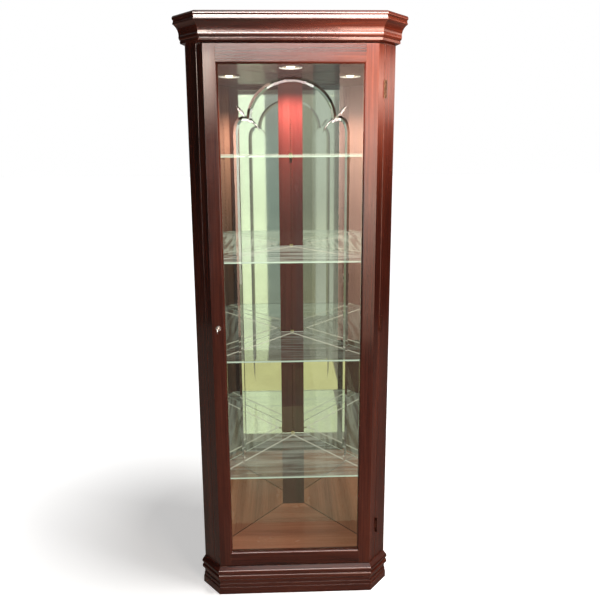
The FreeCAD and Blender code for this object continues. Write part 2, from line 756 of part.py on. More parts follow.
def groove_arc(centre_x, centre_z, run, rise, start, end):
    """Closed plan of a groove along a quarter or half of an ellipse, angles in degrees."""
    half = number("groove_width") / 2
    edges = []
    for widen in (half, -half):
        long_side = max(run, rise) + widen
        short_side = min(run, rise) + widen
        ellipse = Part.Ellipse(FreeCAD.Vector(0, 0, 0), long_side, short_side)
        turn = 0 if run >= rise else 90
        edge = ellipse.toShape(FreeCAD.Units.Quantity(f"{start - turn} deg").getValueAs("rad").Value,
                               FreeCAD.Units.Quantity(f"{end - turn} deg").getValueAs("rad").Value)
        edge.rotate(FreeCAD.Vector(), FreeCAD.Vector(0, 0, 1), turn)
        edge.rotate(FreeCAD.Vector(), FreeCAD.Vector(1, 0, 0), 90)
        edge.translate(FreeCAD.Vector(centre_x, 0, centre_z))
        edges.append(edge)
    ends = []
    for end in (0, 1):
        corners = [edge.valueAt(edge.ParameterRange[end]) for edge in edges]
        ends.append(Part.makeLine(*corners))
    return Part.Face(Part.Wire(Part.__sortEdges__([edges[0], ends[1], edges[1], ends[0]])))


def glass_grooves():
    """Arch over the glass, shoulders springing from it, and a border down each side."""
    spring = (OPENING_TOP - D.arch_drop).value
    half = (SIGHT_HALF - D.arch_inset).value
    rise = number("arch_rise")
    inner = number("arch_spacing")
    border = (SIGHT_HALF - D.border_inset).value
    shoulder = (OPENING_TOP - D.shoulder_drop).value
    run = number("shoulder_run")
    foot = (OPENING_FOOT + D.border_rise).value
    faces = [groove_arc(0, spring, half, rise, 0, HALF_TURN),
             groove_arc(0, spring, half - inner, rise - inner, 0, HALF_TURN)]
    for hand in (-1, 1):
        quarter = (0, HALF_TURN / 2) if hand > 0 else (HALF_TURN / 2, HALF_TURN)
        centre = hand * (border - run)
        faces.append(groove_arc(centre, shoulder, run, number("shoulder_rise"), *quarter))
        faces.append(groove_line((hand * border, shoulder), (hand * border, foot)))
        inside = hand * (border - inner)
        faces.append(groove_line((inside, shoulder - inner), (inside, foot + inner)))
    return faces


def door_glass():
    front = number("sticking_depth") + number("joint_play")
    half = OPENING_HALF.value - number("glass_play")
    foot = OPENING_FOOT.value + number("glass_play")
    top = OPENING_TOP.value - number("glass_play")
    pane = Part.makeBox(2 * half, number("glass_thick"), top - foot, FreeCAD.Vector(-half, front, foot))
    for face in glass_grooves():
        face.translate(FreeCAD.Vector(0, front, 0))
        pane = pane.cut(face.extrude(FreeCAD.Vector(0, number("groove_depth"), 0)))
    glass = doc.addObject("Part::Feature", "door_glass")
    glass.Label = "door_glass"
    glass.Shape = pane
    glass.Placement = FreeCAD.Placement(FreeCAD.Vector(0, -CENTRE_DEPTH.value, 0), FreeCAD.Rotation())
    PIECES.append(glass)


def glass_stops():
    """Four strips that hold the glass from behind."""
    body = new_body("glass_stops")
    front = D.sticking_depth + D.joint_play + D.glass_thick + D.joint_play
    back = front + D.stop_thick
    out = OPENING_HALF - D.joint_play
    inside = SIGHT_HALF
    foot = OPENING_FOOT + D.joint_play
    top = OPENING_TOP - D.joint_play
    strips = [box_outline(hand * out, hand * inside, foot, top) for hand in (-1, 1)]
    across = inside - D.joint_play
    strips.append(box_outline(-across, across, foot, SIGHT_FOOT))
    strips.append(box_outline(-across, across, SIGHT_TOP, top))
    pad(body, "Y", front, back, *strips)


def door_bumpers():
    """Two soft pads on the back of the lock stile."""
    body = new_body("door_bumpers")
    x = -SIDE_FACE - CASE_FRONT - D.bumper_size
    heights = (DOOR_FOOT + D.tenon_long, DOOR_TOP - D.tenon_long)
    pads = [Circle(x, height, D.bumper_size / 2) for height in heights]
    pad(body, "Y", D.door_thick, D.door_thick + D.door_back_gap - D.joint_play, *pads)


# ---------------------------------------------------------------- hinges
def hinge(name, height):
    """A butt hinge: three knuckles on the case leaf, two on the door leaf, a loose pin with a head."""
    foot = height - D.hinge_height / 2
    knuckle = D.hinge_height / 5
    leaves = {"case": ((0, 2, 4), CASE_FRONT + D.leaf_recess - D.leaf_thick),
              "door": ((1, 3), D.door_thick - D.leaf_recess)}
    for side, (knuckles, front) in leaves.items():
        body = new_body(f"{name}_hinge_{side}_leaf")
        pad(body, "Y", front, front + D.leaf_thick,
            box_outline(HINGE_INNER, HINGE_WEB, foot, foot + D.hinge_height))
        for index in knuckles:
            low = foot + index * knuckle + D.knuckle_play / 2
            high = low + knuckle - D.knuckle_play
            web = box_outline(HINGE_WEB - D.leaf_thick, PIVOT_X, front, front + D.leaf_thick)
            pad(body, "Z", low, high, web)
            pad(body, "Z", low, high, Circle(PIVOT_X, PIVOT_Y, D.hinge_radius))
        pocket(body, "Z", foot - D.knuckle_play, foot + D.hinge_height + D.knuckle_play,
               Circle(PIVOT_X, PIVOT_Y, D.pin_radius + D.pin_running_play))
        for screw in (-1, 1):
            up = height + screw * D.hinge_screw_spacing / 2
            pocket(body, "Y", front, front + D.leaf_thick,
                   Circle(SCREW_X, up, D.hinge_screw_head + D.pin_running_play))
    body = new_body(f"{name}_hinge_pin")
    top = foot + D.hinge_height
    pad(body, "Z", foot, top, Circle(PIVOT_X, PIVOT_Y, D.pin_radius))
    pad(body, "Z", top, top + D.leaf_thick, Circle(PIVOT_X, PIVOT_Y, D.hinge_radius))


SCREW_X = HINGE_INNER + D.hinge_screw_inset


def hinge_screws(label, face, inward):
    """Countersunk screws of one set of leaves, heads flush with the leaf, shanks in the wood."""
    body = new_body(label)
    places = [(SCREW_X, height + end * D.hinge_screw_spacing / 2)
              for height in HINGE_HEIGHTS.values() for end in (-1, 1)]
    head_end = face + inward * D.leaf_thick
    shank_end = face + inward * D.hinge_screw_long
    heads = sorted((face, head_end), key=lambda y: y.value)
    shanks = sorted((head_end, shank_end), key=lambda y: y.value)
    pad(body, "Y", *heads, *[Circle(x, z, D.hinge_screw_head) for x, z in places])
    pad(body, "Y", *shanks, *[Circle(x, z, D.hinge_screw_radius) for x, z in places])


# ---------------------------------------------------------------- lock
LOCK_NUT_BACK = D.door_thick + D.lock_nut_thick
LOCK_BACK = CAM_FRONT - D.cam_gap


def lock_body():
    body = new_body("lock_body")
    pad(body, "Y", -D.lock_flange_thick, 0, Circle(LOCK_X, LOCK_Z, D.lock_flange_radius))
    pad(body, "Y", 0, LOCK_BACK, Circle(LOCK_X, LOCK_Z, D.lock_barrel_radius))
    pocket(body, "Y", -D.lock_flange_thick, LOCK_BACK,
           Circle(LOCK_X, LOCK_Z, D.lock_plug_radius + D.lock_plug_play))


def lock_nut():
    body = new_body("lock_nut")
    flat = D.lock_nut_radius * 0.866
    corner = D.lock_nut_radius / 2
    hexagon = [(D.lock_nut_radius, 0), (corner, flat), (-corner, flat), (-D.lock_nut_radius, 0),
               (-corner, -flat), (corner, -flat)]
    pad(body, "Y", D.door_thick, LOCK_NUT_BACK, Outline([(LOCK_X + x, LOCK_Z + z) for x, z in hexagon]))
    pocket(body, "Y", D.door_thick, LOCK_NUT_BACK,
           Circle(LOCK_X, LOCK_Z, D.lock_barrel_radius + D.lock_plug_play))


def lock_plug():
    """The plug turns in the lock body; its keyway stands upright when the door is free."""
    body = new_body("lock_plug")
    front = -D.lock_flange_thick - D.joint_play
    pad(body, "Y", front, CAM_FRONT, Circle(LOCK_X, LOCK_Z, D.lock_plug_radius))
    slot = D.key_blade_high / 2 + D.key_play
    wide = D.key_thick / 2 + D.key_play
    pocket(body, "Y", front, D.key_blade_long + D.cam_gap + front,
           box_outline(LOCK_X - wide, LOCK_X + wide, LOCK_Z - slot, LOCK_Z + slot))
    pocket(body, "Y", CAM_FRONT - D.key_shank_long / 2, CAM_FRONT,
           Circle(LOCK_X, LOCK_Z, D.cam_screw_radius + D.lock_plug_play))


def lock_cam():
    """The cam hangs down when the door is free, and points into the side panel when it is locked."""
    body = new_body("lock_cam")
    half = D.cam_width / 2
    tip = LOCK_Z - D.cam_reach + half
    back = CAM_FRONT + D.cam_thick
    pad(body, "Y", CAM_FRONT, back, box_outline(LOCK_X - half, LOCK_X + half, tip, LOCK_Z))
    pad(body, "Y", CAM_FRONT, back, Circle(LOCK_X, LOCK_Z, half))
    pad(body, "Y", CAM_FRONT, back, Circle(LOCK_X, tip, half))
    pocket(body, "Y", CAM_FRONT, CAM_FRONT + D.cam_thick,
           Circle(LOCK_X, LOCK_Z, D.cam_screw_radius + D.lock_plug_play))


def cam_screw():
    body = new_body("cam_screw")
    head = CAM_FRONT + D.cam_thick
    pad(body, "Y", CAM_FRONT - D.key_shank_long / 2 + D.joint_play, head,
        Circle(LOCK_X, LOCK_Z, D.cam_screw_radius))
    pad(body, "Y", head, head + D.cam_screw_head_high, Circle(LOCK_X, LOCK_Z, D.cam_screw_head))


def key():
    """Flat blade in the keyway, round shank, pierced bow."""
    body = new_body("key")
    face = -D.lock_flange_thick - D.joint_play
    half = D.key_thick / 2
    blade = D.key_blade_high / 2
    pad(body, "Y", face - D.cam_gap - half, face + D.key_blade_long - D.cam_gap,
        box_outline(LOCK_X - half, LOCK_X + half, LOCK_Z - blade, LOCK_Z + blade))
    shank_front = face - D.cam_gap - D.key_shank_long
    pad(body, "Y", shank_front, face - D.cam_gap, Circle(LOCK_X, LOCK_Z, D.key_shank_radius))
    bow = shank_front - D.key_bow_radius + half
    pad(body, "X", LOCK_X - half, LOCK_X + half, Circle(bow, LOCK_Z, D.key_bow_radius))
    pocket(body, "X", LOCK_X - half, LOCK_X + half, Circle(bow - half, LOCK_Z, D.key_bow_hole))


# ---------------------------------------------------------------- shelves
def shelf_bottom(index):
    return pin_height(SHELF_HOLES[index]) + D.pin_diameter / 2 + D.rest_thick / 2 + D.shelf_rest_gap


def shelf(index):
    """A glass shelf with a plate groove parallel to its two back edges."""
    body = new_body(f"glass_shelf_{index}")
    side = SIDE_FACE - ROOT2 * D.shelf_side_play
    back = MIRROR_FACE - ROOT2 * D.shelf_back_play
    rear = POST_FRONT - D.shelf_back_play
    right = [(side + SHELF_FRONT, SHELF_FRONT), meet(side, back), (back - rear, rear)]
    foot = shelf_bottom(index)
    top = foot + D.shelf_thick
    pad(body, "Z", foot, top, Outline(right + [(-x, y) for x, y in reversed(right)]))
    outer = back - ROOT2 * D.plate_groove_inset
    inner = outer - ROOT2 * D.plate_groove_width
    low = SHELF_FRONT + D.plate_groove_inset
    chevron = [(outer - low, low), (0, outer), (low - outer, low),
               (low - inner, low), (0, inner), (inner - low, low)]
    pocket(body, "Z", top - D.plate_groove_depth, top, Outline(chevron))


def shelf_rest(number_in_row, x, y, turn, height):
    """A shelf support: a pin in its hole and a small plate under the glass."""
    name = f"rest_{number_in_row}"
    pin = doc.addObject("Part::Cylinder", name + "_pin")
    pin.setExpression("Radius", (D.pin_diameter / 2).text)
    pin.setExpression("Height", (D.pin_hole_depth - D.joint_play + D.rest_thick).text)
    pin.Placement.Rotation = FreeCAD.Rotation(FreeCAD.Vector(1, 0, 0), -90)
    pin.setExpression("Placement.Base.y", (-D.rest_thick).text)
    lug = doc.addObject("Part::Box", name + "_lug")
    lug.setExpression("Length", D.rest_width.text)
    lug.setExpression("Width", D.rest_thick.text)
    lug.setExpression("Height", (D.pin_diameter + D.rest_thick).text)
    lug.setExpression("Placement.Base.x", (-D.rest_width / 2).text)
    lug.setExpression("Placement.Base.y", (-D.rest_thick).text)
    lug.setExpression("Placement.Base.z", (-D.pin_diameter / 2 - D.rest_thick / 2).text)
    plate = doc.addObject("Part::Box", name + "_plate")
    plate.setExpression("Length", D.rest_width.text)
    plate.setExpression("Width", D.rest_reach.text)
    plate.setExpression("Height", D.rest_thick.text)
    plate.setExpression("Placement.Base.x", (-D.rest_width / 2).text)
    plate.setExpression("Placement.Base.y", (-D.rest_reach).text)
    plate.setExpression("Placement.Base.z", (D.pin_diameter / 2 - D.rest_thick / 2).text)
    whole = doc.addObject("Part::MultiFuse", name)
    whole.Shapes = [pin, lug, plate]
    whole.Placement.Rotation = FreeCAD.Rotation(FreeCAD.Vector(0, 0, 1), turn)
    whole.setExpression("Placement.Base.x", size(x).text)
    whole.setExpression("Placement.Base.y", size(y).text)
    whole.setExpression("Placement.Base.z", size(height).text)
    return whole


def shelf_supports():
    """Three supports under each shelf: one on each side panel and one on the rear post."""
    rests = []
    for index in SHELF_HOLES:
        height = pin_height(SHELF_HOLES[index])
        rests.append(shelf_rest(len(rests), 0, POST_FRONT, 0, height))
        rests.append(shelf_rest(len(rests), PIN_X, PIN_Y, CORNER - HALF_TURN, height))
        rests.append(shelf_rest(len(rests), -PIN_X, PIN_Y, HALF_TURN - CORNER, height))
    group = doc.addObject("Part::Compound", "shelf_supports")
    group.Label = "shelf_supports"
    group.Links = rests
    place(group, 0, 0)
    PIECES.append(group)


# ---------------------------------------------------------------- light
def light_can():
    body = new_body("light_can")
    foot = CEILING
    top = foot + D.light_can_high
    pad(body, "Z", foot, top, Circle(0, D.light_setback, D.light_can_radius))
    pocket(body, "Z", foot, top - D.light_can_wall,
           Circle(0, D.light_setback, D.light_can_radius - D.light_can_wall))


def light_trim():
    """Trim ring against the ceiling, round the mouth of the can."""
    body = new_body("light_trim_ring")
    top = CEILING - D.joint_play
    pad(body, "Z", top - D.light_trim_thick, top, Circle(0, D.light_setback, D.light_trim_radius))
    mouth = Circle(0, D.light_setback, D.lamp_radius + D.lamp_recess)
    pocket(body, "Z", top - D.light_trim_thick, top, mouth)


def light_lamp():
    """Reflector lamp: a flat front and a cone towards its base."""
    body = new_body("light_lamp")
    foot = CEILING + D.lamp_recess
    pad(body, "Z", foot, foot + D.lamp_recess, Circle(0, D.light_setback, D.lamp_radius))
    pad(body, "Z", foot + D.lamp_recess, foot + D.lamp_high, Circle(0, D.light_setback, D.lamp_radius - 1),
        draft=-25)


def light_socket():
    body = new_body("light_socket")
    foot = CEILING + D.lamp_recess + D.lamp_high
    pad(body, "Z", foot, CEILING + D.light_can_high - D.light_can_wall,
        Circle(0, D.light_setback, D.socket_radius))


def cord_grommet():
    """Grommet in the left back board, where the light's cord leaves the cabinet."""
    body = new_body("cord_grommet")
    side_frame(body, -1)
    neck = D.grommet_radius - D.quirk - D.joint_play
    back = -D.side_width + D.board_thick
    height = CASE_TOP - D.grommet_drop
    pad(body, "X", -D.side_width, back + D.quirk, Circle(D.grommet_run, height, neck))
    pad(body, "X", back, back + D.quirk, Circle(D.grommet_run, height, D.grommet_radius))
    pocket(body, "X", -D.side_width, back + D.quirk, Circle(D.grommet_run, height, D.grommet_bore))


# ---------------------------------------------------------------- build
def build_case():
    locked_side_panel()
    hinged_side_panel()
    floor_panel()
    top_panel()
    face_board("plinth_board", 0, D.base_height)
    face_board("header_board", CROWN_FOOT, CASE_TOP)
    top_front_rail()
    wall_rail("top_rail_right", 1, CEILING + D.panel_thick, CASE_TOP)
    grommet_rail()
    back_post()
    glue_blocks()
    for name, hand in SIDES.items():
        wall_rail("base_rail_" + name, hand, 0, FLOOR - D.panel_thick)
        back_board(name, hand)
        mirror(name, hand)
        side_moulding("crown_" + name, crown_profile(), CROWN_OUT, hand)
        side_moulding("base_moulding_" + name, base_profile(), D.base_torus_out + D.base_scotia_out, hand)
    front_moulding("crown_front", crown_profile(), CROWN_OUT)
    front_moulding("base_moulding_front", base_profile(), D.base_torus_out + D.base_scotia_out)


def build_door():
    lock_stile()
    hinge_stile()
    door_rail("door_top_rail", DOOR_TOP, OPENING_TOP, SIGHT_TOP)
    door_rail("door_bottom_rail", DOOR_FOOT, OPENING_FOOT, SIGHT_FOOT)
    door_glass()
    glass_stops()
    door_bumpers()
    for name, height in HINGE_HEIGHTS.items():
        hinge(name, height)
    hinge_screws("hinge_screws_case", CASE_FRONT + D.leaf_recess - D.leaf_thick, 1)
    hinge_screws("hinge_screws_door", D.door_thick - D.leaf_recess + D.leaf_thick, -1)
    for make in (lock_body, lock_nut, lock_plug, lock_cam, cam_screw, key):
        make()


def build_fittings():
    for index in SHELF_HOLES:
        shelf(index)
    shelf_supports()
    for make in (light_can, light_trim, light_lamp, light_socket, cord_grommet):
        make()


def check_document():
    for item in doc.Objects:
        if any(state in item.State for state in ("Invalid", "Error")):
            raise RuntimeError(f"{item.Label} failed: {item.State}")
    for piece in PIECES:
        if piece.Shape.isNull() or not piece.Shape.isValid():
            raise RuntimeError(f"{piece.Label} has no valid shape")


def export():
    os.makedirs("parts", exist_ok=True)
    for piece in PIECES:
        piece.Shape.exportStep(f"parts/{piece.Label}.step")
        box = piece.Shape.BoundBox
        print(f"{piece.Label}: {len(piece.Shape.Solids)} solid(s), {piece.Shape.Volume / 1000:.1f} cm3,",
              f"x {box.XMin:.1f} {box.XMax:.1f}, y {box.YMin:.1f} {box.YMax:.1f},",
              f"z {box.ZMin:.1f} {box.ZMax:.1f}")


build_case()
build_door()
build_fittings()
doc.recompute()
check_document()
export()
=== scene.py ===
"""The looks of a corner curio cabinet: finishes, cut door glass, small fittings, studio and camera.

Everything is in metres, in the cabinet's own frame: X across the front, Y from the door to the corner,
Z up."""

import math

import bmesh
import bpy
from mathutils import Matrix, Vector


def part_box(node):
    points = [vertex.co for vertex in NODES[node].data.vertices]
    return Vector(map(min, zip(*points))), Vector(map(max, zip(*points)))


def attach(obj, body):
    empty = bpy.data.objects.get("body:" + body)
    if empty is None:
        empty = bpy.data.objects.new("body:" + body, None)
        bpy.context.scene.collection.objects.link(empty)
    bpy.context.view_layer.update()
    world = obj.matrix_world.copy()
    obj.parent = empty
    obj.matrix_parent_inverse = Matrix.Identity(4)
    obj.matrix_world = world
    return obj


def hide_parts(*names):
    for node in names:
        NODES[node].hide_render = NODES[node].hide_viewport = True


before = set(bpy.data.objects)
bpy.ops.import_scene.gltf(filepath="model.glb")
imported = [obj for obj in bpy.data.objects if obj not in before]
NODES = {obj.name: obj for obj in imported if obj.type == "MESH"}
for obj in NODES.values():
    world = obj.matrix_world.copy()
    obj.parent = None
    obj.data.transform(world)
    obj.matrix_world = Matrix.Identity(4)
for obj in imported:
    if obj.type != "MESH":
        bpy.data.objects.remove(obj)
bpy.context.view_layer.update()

HALF_TURN = math.pi
SLANT = math.sqrt(0.5)
ALONG = {
    "up": Vector((0, 0, 1)),
    "across": Vector((1, 0, 0)),
    "left_return": Vector((-SLANT, SLANT, 0)),
    "right_return": Vector((SLANT, SLANT, 0)),
}


def placed(name, data):
    """An object of that data, in the scene."""
    made = bpy.data.objects.new(name, data)
    bpy.context.scene.collection.objects.link(made)
    return made


# ---------------------------------------------------------------- camera

IMAGE_SIDE = 600                # pixels, as are the next two
FOCAL_PIXELS = 544.88
AXIS_ROW = 248.73
SENSOR_WIDTH = 36.0             # millimetres
CAMERA_PLACE = Vector((-0.0244, -1.845, 1.54164))
CAMERA_YAW = math.radians(1.61)
CAMERA_PITCH = math.radians(10.32)
CAMERA_ROLL = math.radians(-0.31)


def make_camera():
    """A camera at the photograph's viewing angle, its optical axis above the middle of the frame."""
    level = math.cos(CAMERA_PITCH)
    forward = Vector((math.sin(CAMERA_YAW) * level, math.cos(CAMERA_YAW) * level, -math.sin(CAMERA_PITCH)))
    flat_right = Vector((math.cos(CAMERA_YAW), -math.sin(CAMERA_YAW), 0))
    flat_up = flat_right.cross(forward)
    right = flat_right * math.cos(CAMERA_ROLL) + flat_up * math.sin(CAMERA_ROLL)
    up = flat_up * math.cos(CAMERA_ROLL) - flat_right * math.sin(CAMERA_ROLL)
    data = bpy.data.cameras.new("camera")
    data.sensor_width = SENSOR_WIDTH
    data.lens = FOCAL_PIXELS / IMAGE_SIDE * SENSOR_WIDTH
    data.shift_y = (AXIS_ROW - IMAGE_SIDE / 2) / IMAGE_SIDE
    camera = placed("camera", data)
    turn = Matrix((right, up, -forward)).transposed()
    camera.matrix_world = Matrix.Translation(CAMERA_PLACE) @ turn.to_4x4()
    bpy.context.scene.camera = camera


# ---------------------------------------------------------------- colours

def tone(red, green, blue):
    """An opaque colour."""
    return (red, green, blue, 1.0)


def grey(value):
    """An opaque grey."""
    return tone(value, value, value)


# ---------------------------------------------------------------- node helpers

FACES_THAT_WAY = 0.9            # least cosine between a face's normal and the way it looks


def new_material(name):
    """A material with nodes. Returns it, its tree and its main shader. Where it glows it isn't sampled as a
    lamp, because the lamps give the light."""
    made = bpy.data.materials.new(name)
    made.use_nodes = True
    made.cycles.emission_sampling = "NONE"
    return made, made.node_tree, made.node_tree.nodes["Principled BSDF"]


def add(tree, kind, inputs=None, **settings):
    """A node of that kind. Each input is a value, or the socket that feeds it."""
    node = tree.nodes.new(kind)
    for key, value in settings.items():
        setattr(node, key, value)
    for key, value in (inputs or {}).items():
        if isinstance(value, bpy.types.NodeSocket):
            tree.links.new(value, node.inputs[key])
        else:
            node.inputs[key].default_value = value
    return node


def math_node(tree, operation, first, second=0.0):
    """The result of one operation on two numbers."""
    return add(tree, "ShaderNodeMath", {0: first, 1: second}, operation=operation).outputs[0]


def product(tree, first, *others):
    """Numbers multiplied together."""
    for other in others:
        first = math_node(tree, "MULTIPLY", first, other)
    return first


def mingled(tree, share, first, second):
    """Two numbers added in shares that make 1."""
    return math_node(tree, "ADD", product(tree, first, share), product(tree, second, 1.0 - share))


def vector_node(tree, operation, first, second, result="Vector"):
    """The result of one operation on two vectors."""
    return add(tree, "ShaderNodeVectorMath", {0: first, 1: second}, operation=operation).outputs[result]


def dot(tree, first, second):
    """The dot product of two vectors."""
    return vector_node(tree, "DOT_PRODUCT", first, second, "Value")


def carried(tree, value, low, high, to_low=0.0, to_high=1.0):
    """A number carried from one range to another, and held at its ends."""
    inputs = {"Value": value, "From Min": low, "From Max": high, "To Min": to_low, "To Max": to_high}
    return add(tree, "ShaderNodeMapRange", inputs).outputs["Result"]


def mix_colours(tree, share, first, second, blend="MIX"):
    """A blend of two colours."""
    node = add(tree, "ShaderNodeMix", {0: share, 6: first, 7: second}, data_type="RGBA", blend_type=blend)
    return node.outputs[2]


def mix_shaders(tree, share, first, second):
    """A blend of two surfaces."""
    return add(tree, "ShaderNodeMixShader", {0: share, 1: first, 2: second}).outputs[0]


def matt_with_painted_glow(tree, body, colour, strength):
    """A matt surface that also glows, which is painted light, as it is no lamp."""
    matt = add(tree, "ShaderNodeBsdfDiffuse", {"Color": body})
    glow = add(tree, "ShaderNodeEmission", {"Color": colour, "Strength": strength})
    return add(tree, "ShaderNodeAddShader", {0: matt.outputs[0], 1: glow.outputs[0]}).outputs[0]


def ramp(tree, share, *stops):
    """A colour ramp through (place, colour) stops."""
    node = add(tree, "ShaderNodeValToRGB", {0: share})
    while len(node.color_ramp.elements) < len(stops):
        node.color_ramp.elements.new(1.0)
    for element, (place, colour) in zip(node.color_ramp.elements, stops):
        element.position = place
        element.color = colour
    return node.outputs[0]


def position(tree):
    """Where a point is on the cabinet, which no joint changes."""
    return tree.nodes.new("ShaderNodeTexCoord").outputs["Object"]


def surface_normal(tree):
    """Which way the surface looks."""
    return add(tree, "ShaderNodeNewGeometry").outputs["Normal"]


def axes(tree, vector):
    """A vector's parts, called X, Y and Z."""
    return add(tree, "ShaderNodeSeparateXYZ", {0: vector}).outputs


def looks_along(tree, direction):
    """1 on the faces that look one way, 0 on the others."""
    return math_node(tree, "GREATER_THAN", dot(tree, surface_normal(tree), direction), FACES_THAT_WAY)


def stretched(tree, along, long_scale, cross_scale):
    """A point's place in a frame whose first axis is along, with its own scale along and across."""
    side = along.cross(Vector((0, 0, 1)) if abs(along.z) < 0.5 else Vector((0, 1, 0))).normalized()
    other = along.cross(side)
    place = position(tree)
    parts = []
    for axis, scale in ((along, long_scale), (side, cross_scale), (other, cross_scale)):
        parts.append(dot(tree, place, axis * scale))
    return add(tree, "ShaderNodeCombineXYZ", {0: parts[0], 1: parts[1], 2: parts[2]}).outputs[0]


def noise(tree, vector, scale=1.0, detail=2.0, roughness=0.5, distortion=0.0):
    """Fractal noise from 0 to 1."""
    inputs = {"Vector": vector, "Scale": scale, "Detail": detail}
    inputs.update({"Roughness": roughness, "Distortion": distortion})
    return add(tree, "ShaderNodeTexNoise", inputs).outputs["Fac"]


def edge_mask(tree, radius, low, high):
    """1 on the arrises of a piece and 0 on its flats, from how far a bevel would turn the normal."""
    bevel = add(tree, "ShaderNodeBevel", {"Radius": radius}, samples=4).outputs["Normal"]
    turned = math_node(tree, "SUBTRACT", 1.0, dot(tree, bevel, surface_normal(tree)))
    return carried(tree, turned, low, high)


def add_relief(tree, shader, height, strength, depth, **normal):
    """Gives a surface bumps of a depth, over the normal where one is given."""
    inputs = {"Strength": strength, "Distance": depth, "Height": height, **normal}
    bump = add(tree, "ShaderNodeBump", inputs)
    tree.links.new(bump.outputs["Normal"], shader.inputs["Normal"])


def use(material, *names):
    """Gives CAD nodes a material in every slot."""
    for name in names:
        mesh = NODES[name].data
        if not mesh.materials:
            mesh.materials.append(material)
        for slot in range(len(mesh.materials)):
            mesh.materials[slot] = material


# ---------------------------------------------------------------- mesh helpers

def made_of(name, mesh):
    """The object of a finished bmesh, which is freed."""
    data = bpy.data.meshes.new(name)
    mesh.to_mesh(data)
    mesh.free()
    return placed(name, data)


def sheet(name, corners):
    """An object of one face through four corners."""
    data = bpy.data.meshes.new(name)
    data.from_pydata(corners, [], [(0, 1, 2, 3)])
    return placed(name, data)


def block(name, low, high):
    """A closed block between two corners."""
    mesh = bmesh.new()
    bmesh.ops.create_cube(mesh, size=1.0)
    for vertex in mesh.verts:
        vertex.co = Vector([(high[k] + low[k]) / 2 + vertex.co[k] * (high[k] - low[k]) for k in range(3)])
    return made_of(name, mesh)


def lathe(name, profile, x, y, steps):
    """A closed ring: a profile of (radius, height) points turned about an upright axis."""
    mesh = bmesh.new()
    turns = []
    for step in range(steps):
        angle = 2 * HALF_TURN * step / steps
        across, deep = math.cos(angle), math.sin(angle)
        turns.append([mesh.verts.new((x + r * across, y + r * deep, z)) for r, z in profile])
    for index, turn in enumerate(turns):
        following = turns[(index + 1) % steps]
        for corner in range(len(profile)):
            after = (corner + 1) % len(profile)
            mesh.faces.new((turn[corner], turn[after], following[after], following[corner]))
    bmesh.ops.recalc_face_normals(mesh, faces=mesh.faces)
    return made_of(name, mesh)


def bake_modifiers(piece):
    """Leaves a piece's mesh as its modifiers make it, and takes them off."""
    bpy.context.view_layer.update()
    result = bpy.data.meshes.new_from_object(piece.evaluated_get(bpy.context.evaluated_depsgraph_get()))
    piece.modifiers.clear()
    piece.data = result


def smooth(piece, sharp_degrees):
    """Shades a piece smooth, except across edges sharper than that."""
    piece.data.shade_smooth()
    piece.data.set_sharp_from_angle(angle=math.radians(sharp_degrees))


# ---------------------------------------------------------------- wood

# From dark to light.
WOOD_TONES = (tone(0.026, 0.0042, 0.0024), tone(0.066, 0.0110, 0.0056), tone(0.115, 0.0230, 0.0110))
POST_TONES = (tone(0.049, 0.0070, 0.0066), tone(0.077, 0.0125, 0.0118), tone(0.101, 0.0195, 0.0180))
# The next two are paler tones for the floor's top and the sides' inner faces: painted light, for light thrown
# on them.
FLOOR_PAINTED_LIGHT_TONES = (tone(0.240, 0.072, 0.049), tone(0.460, 0.165, 0.112))
SIDE_PAINTED_LIGHT_TONES = (tone(0.120, 0.053, 0.041), tone(0.260, 0.125, 0.096))
POPLAR_TONES = (tone(0.16, 0.10, 0.055), tone(0.34, 0.23, 0.13))
PLYWOOD_TONES = (tone(0.13, 0.075, 0.040), tone(0.25, 0.16, 0.09))
WOOD_WORN = tone(0.230, 0.0800, 0.0430)
PORE = tone(0.012, 0.0030, 0.0020)

WORN_RADIUS = 0.0016
ARRIS_RADIUS = 0.0014
PORE_DEPTH = 0.0002
FIBRE_DEPTH = 0.0003
SATIN = 0.19                    # roughness of the lacquer, and of the ceiling's dull one
DULL = 0.60
GLOSSIER = 0.05                 # how far smudges move that roughness, down and up
SMUDGED = 0.09
SATIN_COAT = 0.30
SATIN_SPECULAR = 0.45
POLISHED_COAT = 1.0
POLISHED_SPECULAR = 0.80
COAT_ROUGHNESS = 0.08


